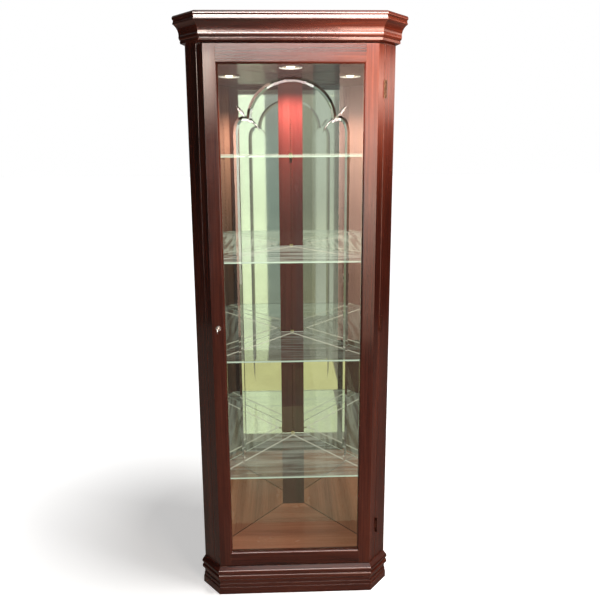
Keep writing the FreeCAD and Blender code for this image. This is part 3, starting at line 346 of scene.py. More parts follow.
def lacquered_mahogany(name, along, tones=WOOD_TONES, gloss=SATIN, relief=0.22, polished=False, inside=None):
    """Red mahogany under a worn satin lacquer, its grain along one direction. Where inside is given, it is a
    direction and the two paler tones of the face that looks that way, which are painted light for the light
    thrown on that face."""
    made, tree, shader = new_material(name)
    figure = noise(tree, stretched(tree, along, 1.1, 21.0), detail=3.0, roughness=0.55, distortion=0.2)
    streak = noise(tree, stretched(tree, along, 5.0, 210.0), detail=3.0, roughness=0.6)
    pores = noise(tree, stretched(tree, along, 130.0, 2600.0), detail=1.0)
    grain = mingled(tree, 0.62, figure, streak)
    body = ramp(tree, grain, (0.34, tones[0]), (0.50, tones[1]), (0.66, tones[2]))
    if inside is not None:
        direction, (dark, light) = inside
        # painted light: the face that looks the given way takes the paler tones
        pale = ramp(tree, grain, (0.34, dark), (0.66, light))
        body = mix_colours(tree, looks_along(tree, direction), body, pale)
    pore_share = ramp(tree, pores, (0.58, grey(0.0)), (0.72, grey(0.55)))
    body = mix_colours(tree, pore_share, body, PORE)
    handling = noise(tree, position(tree), scale=38.0, detail=4.0)
    wear = ramp(tree, handling, (0.42, grey(0.1)), (0.62, grey(0.85)))
    worn_edge = product(tree, edge_mask(tree, WORN_RADIUS, 0.02, 0.16), wear)
    tree.links.new(mix_colours(tree, worn_edge, body, WOOD_WORN), shader.inputs["Base Color"])
    smudge = noise(tree, stretched(tree, along, 6.0, 14.0), detail=4.0, roughness=0.6)
    rough = carried(tree, smudge, 0.3, 0.7, gloss - GLOSSIER, gloss + SMUDGED)
    tree.links.new(rough, shader.inputs["Roughness"])
    shader.inputs["Specular IOR Level"].default_value = POLISHED_SPECULAR if polished else SATIN_SPECULAR
    shader.inputs["Coat Weight"].default_value = POLISHED_COAT if polished else SATIN_COAT
    shader.inputs["Coat Roughness"].default_value = COAT_ROUGHNESS
    bevel = add(tree, "ShaderNodeBevel", {"Radius": ARRIS_RADIUS}, samples=6).outputs["Normal"]
    height = math_node(tree, "ADD", product(tree, pore_share, -1.0), product(tree, streak, 0.6))
    add_relief(tree, shader, height, relief, PORE_DEPTH, Normal=bevel)
    return made


def raw_wood(name, along, tones):
    """Unfinished timber or board inside the case."""
    made, tree, shader = new_material(name)
    figure = noise(tree, stretched(tree, along, 1.6, 26.0), detail=4.0, roughness=0.6, distortion=0.5)
    fibre = noise(tree, stretched(tree, along, 12.0, 520.0), detail=2.0)
    grain = mingled(tree, 0.6, figure, fibre)
    tree.links.new(ramp(tree, grain, (0.35, tones[0]), (0.65, tones[1])), shader.inputs["Base Color"])
    shader.inputs["Roughness"].default_value = 0.78
    add_relief(tree, shader, fibre, 0.35, FIBRE_DEPTH)
    return made


def dress_woods():
    """Finishes of the case's and the door's wood."""
    up, across = ALONG["up"], ALONG["across"]
    use(lacquered_mahogany("mahogany_upright", up), "lock_stile", "hinge_stile")
    use(lacquered_mahogany("mahogany_post", up, POST_TONES), "back_post")
    # The sides' inner faces and the floor's top take paler tones, which are painted light.
    for side, inward in (("left", ALONG["right_return"]), ("right", ALONG["left_return"])):
        wood = lacquered_mahogany(f"mahogany_{side}_side", up, inside=(inward, SIDE_PAINTED_LIGHT_TONES))
        use(wood, f"{side}_side_panel")
    use(lacquered_mahogany("mahogany_floor", across, inside=(up, FLOOR_PAINTED_LIGHT_TONES)), "floor_panel")
    use(lacquered_mahogany("mahogany_ceiling", across, gloss=DULL, relief=0.04), "top_panel")
    use(lacquered_mahogany("mahogany_crown", across, polished=True), "crown_front")
    wood = lacquered_mahogany("mahogany_across", across)
    use(wood, "door_top_rail", "door_bottom_rail", "base_moulding_front")
    use(wood, "plinth_board", "header_board", "top_front_rail", "glass_stops")
    for side in ("left", "right"):
        wood = lacquered_mahogany(f"mahogany_{side}_return", ALONG[f"{side}_return"])
        use(wood, f"crown_{side}", f"base_moulding_{side}")
    use(raw_wood("poplar_across", across, POPLAR_TONES), "glue_blocks")
    for side, wall in (("left", ALONG["right_return"]), ("right", ALONG["left_return"])):
        use(raw_wood(f"poplar_{side}_rail", wall, POPLAR_TONES), f"base_rail_{side}", f"top_rail_{side}")
    use(raw_wood("back_board", up, PLYWOOD_TONES), "left_back_board", "right_back_board")


# ---------------------------------------------------------------- mirrors and glass

MIRROR_FOOT_SHADE = 0.0030
SILVER_TONES = (tone(0.84, 0.87, 0.82), tone(0.88, 0.91, 0.87))
BACKING_PAINT = tone(0.030, 0.022, 0.016)

GLASS_IOR = 1.52
WIPED_FILM = 0.02
PANE_TINT = tone(0.95, 0.97, 0.95)
PANE_SPECULAR = 0.10
SHELF_TINT = tone(0.93, 0.97, 0.94)
EDGE_TINT = tone(0.66, 0.86, 0.72)
# The front edge's glow is painted light.
EDGE_PAINTED_GLOW = tone(0.70, 0.82, 0.66)
EDGE_PAINTED_GLOW_STRENGTH = 0.34

GROOVE_INSET = 0.038
GROOVE_WIDTH = 0.005
GROOVE_SLACK = 0.0004
# The groove's glow tone and strength are painted light.
GROOVE_PAINTED_GLOW_TONE = tone(0.90, 0.84, 0.74)
GROOVE_BODY = tone(0.28, 0.26, 0.23)
GROOVE_PAINTED_GLOW = 0.42
GROOVE_SHARE = 0.45

# Dust on the shelves, which glows with painted light and is partly a painted sheen where the top is seen
# along.
DUST_PAINTED_GLOW_TONE = tone(0.84, 0.90, 0.76)
DUST_BODY = tone(0.070, 0.078, 0.072)
DUST_PAINTED_GLOW = 0.66
DUST_AND_SHEEN_SHARE = 1.2
DUST_AND_SHEEN_MOST = 0.42
SETTLED_DUST = 0.13


def silvered_glass(name, facing, foot):
    """A mirror: silver behind the face that looks into the cabinet, but for a strip along its foot, where dark
    backing paint is painted shade where the mirror meets the floor, and backing paint elsewhere."""
    made, tree, shader = new_material(name)
    height = axes(tree, position(tree))["Z"]
    # painted shade: the silver stops in a strip along the foot, which shows the dark backing
    above_painted_shade = math_node(tree, "GREATER_THAN", height, foot + MIRROR_FOOT_SHADE)
    silver = product(tree, looks_along(tree, facing), above_painted_shade)
    haze = noise(tree, position(tree), scale=9.0, detail=5.0, roughness=0.65)
    tint = ramp(tree, haze, (0.3, SILVER_TONES[0]), (0.7, SILVER_TONES[1]))
    tree.links.new(mix_colours(tree, silver, BACKING_PAINT, tint), shader.inputs["Base Color"])
    tree.links.new(silver, shader.inputs["Metallic"])
    polished = ramp(tree, haze, (0.35, grey(0.015)), (0.75, grey(0.05)))
    tree.links.new(mix_colours(tree, silver, grey(0.7), polished), shader.inputs["Roughness"])
    return made


def clear_glass(name, tint):
    """Glass with a wiped film. Returns the material, its tree and its main shader."""
    made, tree, shader = new_material(name)
    shader.inputs["IOR"].default_value = GLASS_IOR
    shader.inputs["Transmission Weight"].default_value = 1.0
    shader.inputs["Base Color"].default_value = tint
    wipe = noise(tree, position(tree), scale=14.0, detail=5.0, roughness=0.62, distortion=0.6)
    tree.links.new(ramp(tree, wipe, (0.40, grey(0.0)), (0.80, grey(WIPED_FILM))), shader.inputs["Roughness"])
    return made, tree, shader


def let_light_through(tree, surface, tint):
    """Ends a glass material: lamps and soft light pass straight through it."""
    path = add(tree, "ShaderNodeLightPath")
    clear = add(tree, "ShaderNodeBsdfTransparent", {"Color": tint})
    lamps = math_node(tree, "MAXIMUM", path.outputs["Is Shadow Ray"], path.outputs["Is Diffuse Ray"])
    mixed = mix_shaders(tree, lamps, surface, clear.outputs[0])
    tree.links.new(mixed, tree.nodes["Material Output"].inputs["Surface"])


def pane_glass():
    """The door's pane."""
    made, tree, shader = clear_glass("door_glass", PANE_TINT)
    shader.inputs["Specular IOR Level"].default_value = PANE_SPECULAR
    let_light_through(tree, shader.outputs[0], PANE_TINT)
    return made


def groove_band(tree, place, turned):
    """1 in the plate groove along a shelf's back edges, 0 elsewhere and on the shelf's underside."""
    back_edge = max(abs(vertex.co.x) + vertex.co.y for vertex in NODES["glass_shelf_1"].data.vertices)
    outer = back_edge - GROOVE_INSET / SLANT
    inner = outer - GROOVE_WIDTH / SLANT
    run = math_node(tree, "ADD", math_node(tree, "ABSOLUTE", place["X"]), place["Y"])
    in_band = math_node(tree, "COMPARE", run, (inner + outer) / 2)
    in_band.node.inputs[2].default_value = (outer - inner) / 2 + GROOVE_SLACK
    return product(tree, in_band, math_node(tree, "GREATER_THAN", turned["Z"], -0.5))


def dust_and_sheen_veil(tree, place, turned):
    """How much of a shelf's top the dust and a painted sheen hide: most where it is seen along, which is
    partly painted sheen, and some all over the lowest.
    """
    facing = add(tree, "ShaderNodeLayerWeight", {"Blend": 0.5}).outputs["Facing"]
    grazing = math_node(tree, "POWER", facing, 5.0)
    ripple = noise(tree, stretched(tree, ALONG["across"], 5.0, 60.0), detail=3.0, distortion=0.5)
    smear = ramp(tree, ripple, (0.40, grey(0.25)), (0.60, grey(1.0)))
    topside = math_node(tree, "GREATER_THAN", turned["Z"], 0.5)
    above_lowest = (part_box("glass_shelf_4")[1].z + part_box("glass_shelf_3")[0].z) / 2
    lowest = math_node(tree, "LESS_THAN", place["Z"], above_lowest)
    # partly dust and partly a painted sheen: the veil grows where the top is seen along
    grazing_dust_and_sheen = product(tree, grazing, smear, topside)
    settled = product(tree, smear, topside, SETTLED_DUST, lowest)
    veil = math_node(tree, "ADD", grazing_dust_and_sheen, settled)
    return math_node(tree, "MINIMUM", product(tree, veil, DUST_AND_SHEEN_SHARE), DUST_AND_SHEEN_MOST)


def shelf_glass():
    """Shelf glass: a pale green front edge, a ground plate groove, and dust. The edge, the groove and the dust
    glow with painted light, and the dust is partly a painted sheen.
    """
    made, tree, shader = clear_glass("shelf_glass", SHELF_TINT)
    turned = axes(tree, surface_normal(tree))
    place = axes(tree, position(tree))
    front = math_node(tree, "LESS_THAN", turned["Y"], -FACES_THAT_WAY)
    tree.links.new(mix_colours(tree, front, SHELF_TINT, EDGE_TINT), shader.inputs["Base Color"])
    # painted light: the front edge glows as well as taking the green tint
    shader.inputs["Emission Color"].default_value = EDGE_PAINTED_GLOW
    tree.links.new(product(tree, front, EDGE_PAINTED_GLOW_STRENGTH), shader.inputs["Emission Strength"])
    # painted light: the frosted groove glows
    frosted_with_painted_glow = matt_with_painted_glow(tree, GROOVE_BODY, GROOVE_PAINTED_GLOW_TONE, GROOVE_PAINTED_GLOW)
    ground = product(tree, groove_band(tree, place, turned), GROOVE_SHARE)
    cut = mix_shaders(tree, ground, shader.outputs[0], frosted_with_painted_glow)
    dust_and_sheen = matt_with_painted_glow(tree, DUST_BODY, DUST_PAINTED_GLOW_TONE, DUST_PAINTED_GLOW)
    whole = mix_shaders(tree, dust_and_sheen_veil(tree, place, turned), cut, dust_and_sheen)
    let_light_through(tree, whole, SHELF_TINT)
    return made


def dress_glass():
    """Glass of the mirrors, the shelves and the door."""
    for side, facing in (("left", -ALONG["left_return"]), ("right", -ALONG["right_return"])):
        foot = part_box(f"{side}_mirror")[0].z
        use(silvered_glass(f"mirror_{side}", facing, foot), f"{side}_mirror")
    use(shelf_glass(), "glass_shelf_1", "glass_shelf_2", "glass_shelf_3", "glass_shelf_4")
    make_door_glass(pane_glass())


# ---------------------------------------------------------------- the cut door glass

# Sizes of the V cuts.
CUT_WIDTH = 0.0150
CUT_DEPTH = 0.0017
CUT_OVERCUT = 0.0004
CUT_POINT = 0.03                # share of the full width at a pointed end
FACET_DEGREES = 7               # the walls of a cut meet the pane at a sharper angle than this

# Places of their centre lines, measured from the edges of the pane.
PANE_LOW, PANE_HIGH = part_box("door_glass")
ARCH_HALF = PANE_HIGH.x - 0.0950
ARCH_CROWN = PANE_HIGH.z - 0.0489
ARCH_SPRING = PANE_HIGH.z - 0.1659
SHOULDER_TOP = PANE_HIGH.z - 0.1674
BORDER_X = PANE_HIGH.x - 0.0535
BORDER_FOOT = PANE_LOW.z + 0.3186

# The border's last stretch, as (height above its foot, share of the full width).
BORDER_TAPER = ((0.12, 1.0), (0.05, 0.6), (0.0, CUT_POINT))
# Each leaf as its share of the full width, its number of steps, and (outward, up) from the foot of the arch.
LEAVES = (
    (0.66, 10, ((0.011, 0.006), (0.021, 0.024), (0.039, 0.040))),
    (0.24, 12, ((0.002, 0.002), (-0.021, -0.008), (-0.034, -0.040))),
)
ARC_STEPS = 48
SHOULDER_STEPS = 24


def bent(points, steps):
    """A smooth run of points from the first to the last of three or more, as one Bezier curve."""
    run = []
    for step in range(steps + 1):
        level = [Vector(point) for point in points]
        share = step / steps
        while len(level) > 1:
            level = [a.lerp(b, share) for a, b in zip(level, level[1:])]
        run.append(level[0])
    return run


def arch_run():
    """Centre line of the round arch over the glass, which is half an ellipse."""
    run = []
    for step in range(ARC_STEPS + 1):
        angle = HALF_TURN * step / ARC_STEPS
        rise = (ARCH_CROWN - ARCH_SPRING) * math.sin(angle)
        run.append(Vector((ARCH_HALF * math.cos(angle), ARCH_SPRING + rise)))
    return run


def border_run(hand):
    """Centre line and widths down one side: a shoulder from the arch, then straight to a pointed foot."""
    start = (ARCH_HALF - 0.0080, ARCH_SPRING - 0.0040)
    over = (BORDER_X - 0.0205, SHOULDER_TOP + 0.0130)
    down = (BORDER_X, SHOULDER_TOP + 0.0040)
    end = (BORDER_X, SHOULDER_TOP - 0.0455)
    run = bent([(hand * x, z) for x, z in (start, over, down, end)], SHOULDER_STEPS)
    widths = [1.0] * len(run)
    for height, share in BORDER_TAPER:
        run.append(Vector((hand * BORDER_X, BORDER_FOOT + height)))
        widths.append(share)
    return run, widths


def swell(share):
    """Width of a leaf cut along its length: sharp at both ends and full in the middle."""
    return max(CUT_POINT, math.sin(HALF_TURN * share) ** 0.8)


def leaf_run(hand, width, steps, points):
    """Centre line and widths of a leaf that sprouts where the arch meets the shoulder."""
    run = bent([(hand * (ARCH_HALF + outward), ARCH_SPRING + up) for outward, up in points], steps)
    return run, [width * swell(step / steps) for step in range(steps + 1)]


def cutter(name, run, widths):
    """A three-sided bar along a run, whose inner edge makes the bottom of a V groove in the pane's front."""
    front = PANE_LOW.y
    mesh = bmesh.new()
    rings = []
    for index, (point, width) in enumerate(zip(run, widths)):
        before = run[max(index - 1, 0)]
        after = run[min(index + 1, len(run) - 1)]
        across = Vector((-(after - before).y, (after - before).x)).normalized()
        half = CUT_WIDTH / 2 * width * (1 + CUT_OVERCUT / (CUT_DEPTH * width))
        ring = []
        for side, depth in ((-half, -CUT_OVERCUT), (half, -CUT_OVERCUT), (0.0, CUT_DEPTH * width)):
            ring.append(mesh.verts.new((point.x + across.x * side, front + depth, point.y + across.y * side)))
        rings.append(ring)
    for first, second in zip(rings, rings[1:]):
        for corner in range(3):
            after = (corner + 1) % 3
            mesh.faces.new((first[corner], first[after], second[after], second[corner]))
    mesh.faces.new(rings[0])
    mesh.faces.new(tuple(reversed(rings[-1])))
    bmesh.ops.recalc_face_normals(mesh, faces=mesh.faces)
    return made_of(name, mesh)


def glass_cutters():
    """Every cutter of the door glass."""
    arch = arch_run()
    bars = [cutter("arch_cut", arch, [1.0] * len(arch))]
    for side, hand in (("left", -1), ("right", 1)):
        bars.append(cutter(f"{side}_border_cut", *border_run(hand)))
        for index, leaf in enumerate(LEAVES):
            bars.append(cutter(f"{side}_leaf_cut_{index}", *leaf_run(hand, *leaf)))
    return bars


def make_door_glass(material):
    """The door's pane, V-cut with an arch, shoulders, leaves and a border down each side."""
    pane = block("cut_door_glass", PANE_LOW, PANE_HIGH)
    bars = glass_cutters()
    for bar in bars:
        cut = pane.modifiers.new(bar.name, "BOOLEAN")
        cut.operation = "DIFFERENCE"
        cut.solver = "EXACT"
        cut.object = bar
    bake_modifiers(pane)
    for bar in bars:
        bpy.data.objects.remove(bar)
    smooth(pane, FACET_DEGREES)
    pane.data.materials.clear()
    pane.data.materials.append(material)
    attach(pane, "door")
    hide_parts("door_glass")


# ---------------------------------------------------------------- fittings

TAB_WIDTH = 0.0130
TAB_THICK = 0.0016
TAB_ROUNDING = 0.4 * TAB_THICK
TAB_ABOVE = 0.0110              # from the underside of its shelf
TAB_BELOW = 0.0070


def metal(name, colour, rough, dull=None):
    """Plated or cast metal with faint tarnish and bright arrises."""
    made, tree, shader = new_material(name)
    tarnish = noise(tree, position(tree), scale=160.0, detail=4.0, roughness=0.6)
    dull = dull or tone(*[0.55 * part for part in colour[:3]])
    base = ramp(tree, tarnish, (0.35, dull), (0.60, colour))
    bright = edge_mask(tree, 0.0004, 0.03, 0.2)
    lifted = tone(*[min(1.0, 1.25 * part) for part in colour[:3]])
    tree.links.new(mix_colours(tree, bright, base, lifted), shader.inputs["Base Color"])
    shader.inputs["Metallic"].default_value = 1.0
    uneven = ramp(tree, tarnish, (0.3, grey(rough + 0.18)), (0.7, grey(rough)))
    tree.links.new(uneven, shader.inputs["Roughness"])
    return made


def painted(name, colour, rough, mottle=0.1):
    """Paint or moulded plastic with a slight orange-peel surface."""
    made, tree, shader = new_material(name)
    spread = noise(tree, position(tree), scale=70.0, detail=4.0)
    low = tone(*[part * (1 - mottle) for part in colour[:3]])
    tree.links.new(ramp(tree, spread, (0.3, low), (0.7, colour)), shader.inputs["Base Color"])
    uneven = ramp(tree, spread, (0.3, grey(rough)), (0.7, grey(rough + 0.1)))
    tree.links.new(uneven, shader.inputs["Roughness"])
    peel = noise(tree, position(tree), scale=1400.0, detail=1.0)
    add_relief(tree, shader, peel, 0.12, 0.0002)
    return made


def make_support_tabs(material):
    """The upright tab of each support on the post, in the play behind its shelf."""
    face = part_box("back_post")[0].y
    for shelf in (1, 2, 3, 4):
        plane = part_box(f"glass_shelf_{shelf}")[0].z
        low = Vector((-TAB_WIDTH / 2, face - TAB_THICK, plane - TAB_BELOW))
        tab = block(f"support_tab_{shelf}", low, Vector((TAB_WIDTH / 2, face, plane + TAB_ABOVE)))
        edge = tab.modifiers.new("rounding", "BEVEL")
        edge.width = TAB_ROUNDING
        edge.segments = 2
        bake_modifiers(tab)
        tab.data.materials.clear()
        tab.data.materials.append(material)
        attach(tab, "case")


def dress_fittings():
    """Finishes of the hinges, lock, supports and grommet."""
    old_brass = metal("old_brass", tone(0.17, 0.095, 0.055), 0.46)
    # painted shade: the middle and low hinges take a darker copy of the old brass
    shaded_brass = metal("shaded_brass", tone(0.095, 0.034, 0.022), 0.60)
    use(old_brass, "hinge_screws_case", "hinge_screws_door")
    for place, brass in (("top", old_brass), ("middle", shaded_brass), ("low", shaded_brass)):
        use(brass, *[f"{place}_hinge_{piece}" for piece in ("case_leaf", "pin", "door_leaf")])
    pale_brass = metal("pale_brass", tone(0.95, 0.78, 0.42), 0.42, tone(0.80, 0.62, 0.30))
    use(pale_brass, "shelf_supports")
    make_support_tabs(pale_brass)
    nickel = metal("nickel", tone(0.72, 0.70, 0.66), 0.18)
    use(nickel, "lock_body", "lock_nut", "lock_plug", "lock_cam", "cam_screw", "key")
    use(painted("bumper", tone(0.75, 0.74, 0.70), 0.45), "door_bumpers")
    use(painted("black_plastic", grey(0.02), 0.4), "cord_grommet")


# ---------------------------------------------------------------- the cabinet's light

LAMP_LOW, LAMP_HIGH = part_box("light_lamp")
LAMP_MIDDLE = (LAMP_LOW + LAMP_HIGH) / 2
LAMP_BODY = tone(0.30, 0.27, 0.22)
BURNER_WIDE = 0.0150
BURNER_DEEP = 0.0085
BURNER_TO_LIGHT = 0.0070

RING_BORE = 0.0282
RING_LIP = 0.0012
RING_RISE = 0.0012
RING_RISE_IN = 0.0040           # from the ring's outer edge, as are the next two
RING_LIP_IN = 0.0018
RING_LIP_OUT = 0.0006
RING_STEPS = 72
RING_SHARP_DEGREES = 25
RING_PAINTED_LIGHT_TONE = tone(1.0, 0.95, 0.86)
RING_PAINTED_LIGHT = 0.9


def lit_lamp(name, colour, strength):
    """Glass of the lamp, alight."""
    made, _, shader = new_material(name)
    shader.inputs["Emission Color"].default_value = colour
    shader.inputs["Emission Strength"].default_value = strength
    shader.inputs["Base Color"].default_value = LAMP_BODY
    shader.inputs["Roughness"].default_value = 0.3
    return made


def lit_burner(material):
    """The bright dome in the middle of the lamp's face."""
    mesh = bmesh.new()
    bmesh.ops.create_uvsphere(mesh, u_segments=32, v_segments=16, radius=1.0)
    for vertex in mesh.verts:
        vertex.co = Vector((vertex.co.x * BURNER_WIDE, vertex.co.y * BURNER_WIDE, vertex.co.z * BURNER_DEEP))
        vertex.co += Vector((LAMP_MIDDLE.x, LAMP_MIDDLE.y, LAMP_LOW.z))
    burner = made_of("lamp_burner", mesh)
    burner.data.shade_smooth()
    burner.data.materials.append(material)
    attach(burner, "case")


def painted_lit_ring(name):
    """Trim ring whose walls that face its axis glow: painted light for the lamp's light on them."""
    made, tree, shader = new_material(name)
    out = vector_node(tree, "SUBTRACT", position(tree), (LAMP_MIDDLE.x, LAMP_MIDDLE.y, 0.0))
    flat = vector_node(tree, "MULTIPLY", out, (1.0, 1.0, 0.0))
    outward = add(tree, "ShaderNodeVectorMath", {0: flat}, operation="NORMALIZE").outputs["Vector"]
    # painted light: the walls that face the axis glow
    inward = math_node(tree, "LESS_THAN", dot(tree, outward, surface_normal(tree)), -0.5)
    tree.links.new(product(tree, inward, RING_PAINTED_LIGHT), shader.inputs["Emission Strength"])
    shader.inputs["Emission Color"].default_value = RING_PAINTED_LIGHT_TONE
    spread = noise(tree, position(tree), scale=70.0, detail=4.0)
    tree.links.new(ramp(tree, spread, (0.3, grey(0.34)), (0.7, grey(0.40))), shader.inputs["Base Color"])
    shader.inputs["Roughness"].default_value = 0.3
    return made


def rolled_ring(material):
    """The light's trim ring with a lip that hangs from its outer edge."""
    low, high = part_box("light_trim_ring")
    outer = (high.x - low.x) / 2
    bottom = low.z - RING_LIP
    inner_wall = [(RING_BORE, high.z), (RING_BORE, low.z)]
    lip = [
        (outer - RING_RISE_IN, low.z + RING_RISE),
        (outer - RING_LIP_IN, bottom),
        (outer - RING_LIP_OUT, bottom),
    ]
    outer_wall = [(outer, low.z), (outer, high.z)]
    middle = (low + high) / 2
    ring = lathe("rolled_trim_ring", inner_wall + lip + outer_wall, middle.x, middle.y, RING_STEPS)
    smooth(ring, RING_SHARP_DEGREES)
    ring.data.materials.append(material)
    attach(ring, "case")
    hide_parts("light_trim_ring")


def dress_light():
    """Finishes of the light's can, socket, lamp and ring."""
    use(painted("white_metal", tone(0.78, 0.76, 0.72), 0.30), "light_can")
    use(painted("ceramic", tone(0.80, 0.78, 0.74), 0.25), "light_socket")
    use(lit_lamp("lamp_face", tone(1.0, 0.66, 0.36), 0.05), "light_lamp")
    lit_burner(lit_lamp("lamp_burner", tone(1.0, 0.82, 0.56), 6.0))
    rolled_ring(painted_lit_ring("painted_lit_ring"))


# ---------------------------------------------------------------- floor and world

FLOOR_REACH = 30.0
FLOOR_LIFT = 0.46               # glow for the camera near the painted shadow's middle; it is 1 farther off
PAINTED_SHADOW_PLACE = (-0.36, 0.22, 0.0)
PAINTED_SHADOW_NEAR = 0.25
PAINTED_SHADOW_FAR = 0.95
WORLD_LIGHT = tone(0.12, 0.115, 0.11)


def make_floor():
    """A plain pale floor, white to the camera where it is lit, which keeps the cabinet's shadow. The glow that
    only the camera sees is weaker round a fixed place left of and behind the cabinet: a painted shadow there.
    """
    corners = [(-FLOOR_REACH, -FLOOR_REACH, 0), (FLOOR_REACH, -FLOOR_REACH, 0)]
    corners += [(FLOOR_REACH, FLOOR_REACH, 0), (-FLOOR_REACH, FLOOR_REACH, 0)]
    floor = sheet("floor", corners)
    made, tree, shader = new_material("floor")
    spread = noise(tree, position(tree), scale=3.0, detail=3.0)
    pale = ramp(tree, spread, (0.3, grey(0.78)), (0.7, grey(0.82)))
    tree.links.new(pale, shader.inputs["Base Color"])
    shader.inputs["Roughness"].default_value = 0.6
    shader.inputs["Specular IOR Level"].default_value = 0.2
    shader.inputs["Emission Color"].default_value = grey(1.0)
    # painted shadow: the camera's glow drops round a fixed place beside the cabinet
    away = vector_node(tree, "DISTANCE", position(tree), PAINTED_SHADOW_PLACE, "Value")
    lift = carried(tree, away, PAINTED_SHADOW_NEAR, PAINTED_SHADOW_FAR, FLOOR_LIFT, 1.0)
    seen = add(tree, "ShaderNodeLightPath").outputs["Is Camera Ray"]
    tree.links.new(product(tree, seen, lift), shader.inputs["Emission Strength"])
    floor.data.materials.append(made)


def make_world():
    """Even studio light, on a background that is white where it is seen."""
    world = bpy.data.worlds.new("studio")
    bpy.context.scene.world = world
    world.use_nodes = True
    tree = world.node_tree
    path = add(tree, "ShaderNodeLightPath")
    seen = math_node(tree, "MAXIMUM", path.outputs["Is Camera Ray"], path.outputs["Is Transmission Ray"])
    seen = math_node(tree, "MAXIMUM", seen, path.outputs["Is Glossy Ray"])
    tree.links.new(mix_colours(tree, seen, WORLD_LIGHT, grey(1.0)), tree.nodes["Background"].inputs["Color"])


# ---------------------------------------------------------------- cards for the reflections

ROOM_REACH = 3.2
ROOM_HEIGHT = 3.4
OPEN_ROOM_MORE = 0.1            # how much farther the open room's walls and ceiling are
MIRRORED_WALL = -2.60
OPEN_WALL = -2.70
WALL_BEHIND_PANELS = 0.04
FLOOR_LEVEL = 0.001
MAT_LEVEL = 0.002

ROOM_TONE = tone(0.20, 0.175, 0.150)
SIDE_TONE = tone(0.035, 0.030, 0.026)
FLOOR_TONE = tone(0.22, 0.18, 0.15)
BEHIND_TONE = tone(0.55, 0.55, 0.48)
CEILING_TONE = tone(0.80, 0.76, 0.64)

# What the mirrors show, on the wall in front: name, x range, then colours from the foot up. All cards' colours
# were set one by one.
MIRRORED_PANELS = (
    ("pale", 0.187, 0.42,
     ((0.0, tone(1.15, 1.20, 0.80)), (0.9, tone(1.35, 1.45, 1.05)), (2.01, tone(1.52, 1.66, 1.38)))),
    ("blue", 0.06, 0.187,
     ((0.0, tone(0.33, 0.36, 0.31)), (1.1, tone(0.33, 0.40, 0.37)), (2.01, tone(0.44, 0.48, 0.46)))),
    ("olive", -0.256, 0.06,
     ((0.0, tone(0.30, 0.27, 0.17)), (1.1, tone(0.33, 0.33, 0.26)), (2.01, tone(0.42, 0.43, 0.34)))),
    ("grey", -0.42, -0.256,
     ((0.6, tone(0.78, 0.78, 0.62)), (1.1, tone(0.70, 0.72, 0.62)), (2.6, tone(0.58, 0.62, 0.58)))),
    ("dark", -0.256, 0.62,
     ((2.01, tone(0.11, 0.105, 0.09)), (2.6, tone(0.09, 0.085, 0.075)))),
    ("beyond_left", -0.72, -0.42,
     ((0.0, ROOM_TONE), (2.6, tone(0.30, 0.27, 0.25)))),
    ("beyond_right", 0.42, 0.70,
     ((0.0, ROOM_TONE), (2.01, ROOM_TONE))),
)
# The same on the floor: name, x range, y range and colour.
MIRRORED_MATS = (
    ("pale_foot", 0.16, 0.42, -2.6, -1.54, tone(1.0, 1.0, 0.66)),
    ("straw", -0.32, 0.37, -1.54, -1.04, tone(0.92, 0.84, 0.42)),
    ("mat", -0.28, 0.34, -1.04, -0.49, tone(1.02, 1.05, 0.68)),
)
# What lacquer, metal and the glass itself show, on the wall in front.
OPEN_PANELS = (
    ("left_tall", -2.6, -1.15,
     ((0.4, tone(4, 3.8, 3.5)), (1.4, tone(9, 8.8, 8.2)), (2.25, tone(9, 8.8, 8.2)))),
    ("left_box", -0.90, -0.55,
     ((1.72, tone(0.8, 0.7, 0.6)), (1.9, tone(8.6, 7.4, 6.3)), (2.25, tone(29, 25.2, 21.5)))),
    ("left_pane", -0.55, -0.33,
     ((0.9, tone(0.2, 0.18, 0.15)), (1.6, tone(1.2, 0.9, 0.8)), (2.36, tone(2.8, 1.8, 1.5)))),
    ("centre", -0.33, 0.20,
     ((0.9, tone(0.2, 0.18, 0.15)), (1.6, tone(0.6, 0.5, 0.45)), (2.36, tone(3.6, 2.3, 2.0)))),
    ("right_pane", 0.20, 0.40,
     ((0.9, tone(0.3, 0.28, 0.25)), (1.6, tone(0.9, 0.9, 0.85)), (2.25, tone(1.2, 1.2, 1.15)))),
    ("right_box", 0.40, 0.85,
     ((0.0, tone(2.6, 1.5, 1.1)), (0.55, tone(4.0, 2.3, 1.7)), (1.2, tone(8.6, 5.6, 4.5)),
      (1.62, tone(11.5, 8.2, 6.8)), (2.25, tone(3.4, 2.4, 1.8)))),
    ("right_tall", 1.2, 2.4,
     ((0.6, tone(2, 1.7, 1.5)), (1.4, tone(4, 3.6, 3.2)), (2.25, tone(4, 3.6, 3.2)))),
    ("top_box", -0.85, 0.85,
     ((2.36, tone(9, 7, 6)), (2.46, tone(29, 25.6, 24)),
      (2.78, tone(27, 25, 24)), (3.38, tone(13, 11.5, 11)))),
)
# The soft box over the open room: x range, y range and colour.
CEILING_BOX = (-0.5, 1.8, -2.4, -0.3, tone(2.2, 2.1, 2.0))
# A box on the open room's right wall: y range, then colours from the foot up.
SIDE_BOX_DEPTHS = (0.0, 0.9)
SIDE_BOX_STOPS = ((1.75, tone(1.0, 0.7, 0.6)), (2.05, tone(6.0, 4.3, 3.6)), (2.3, tone(2.0, 1.4, 1.2)))


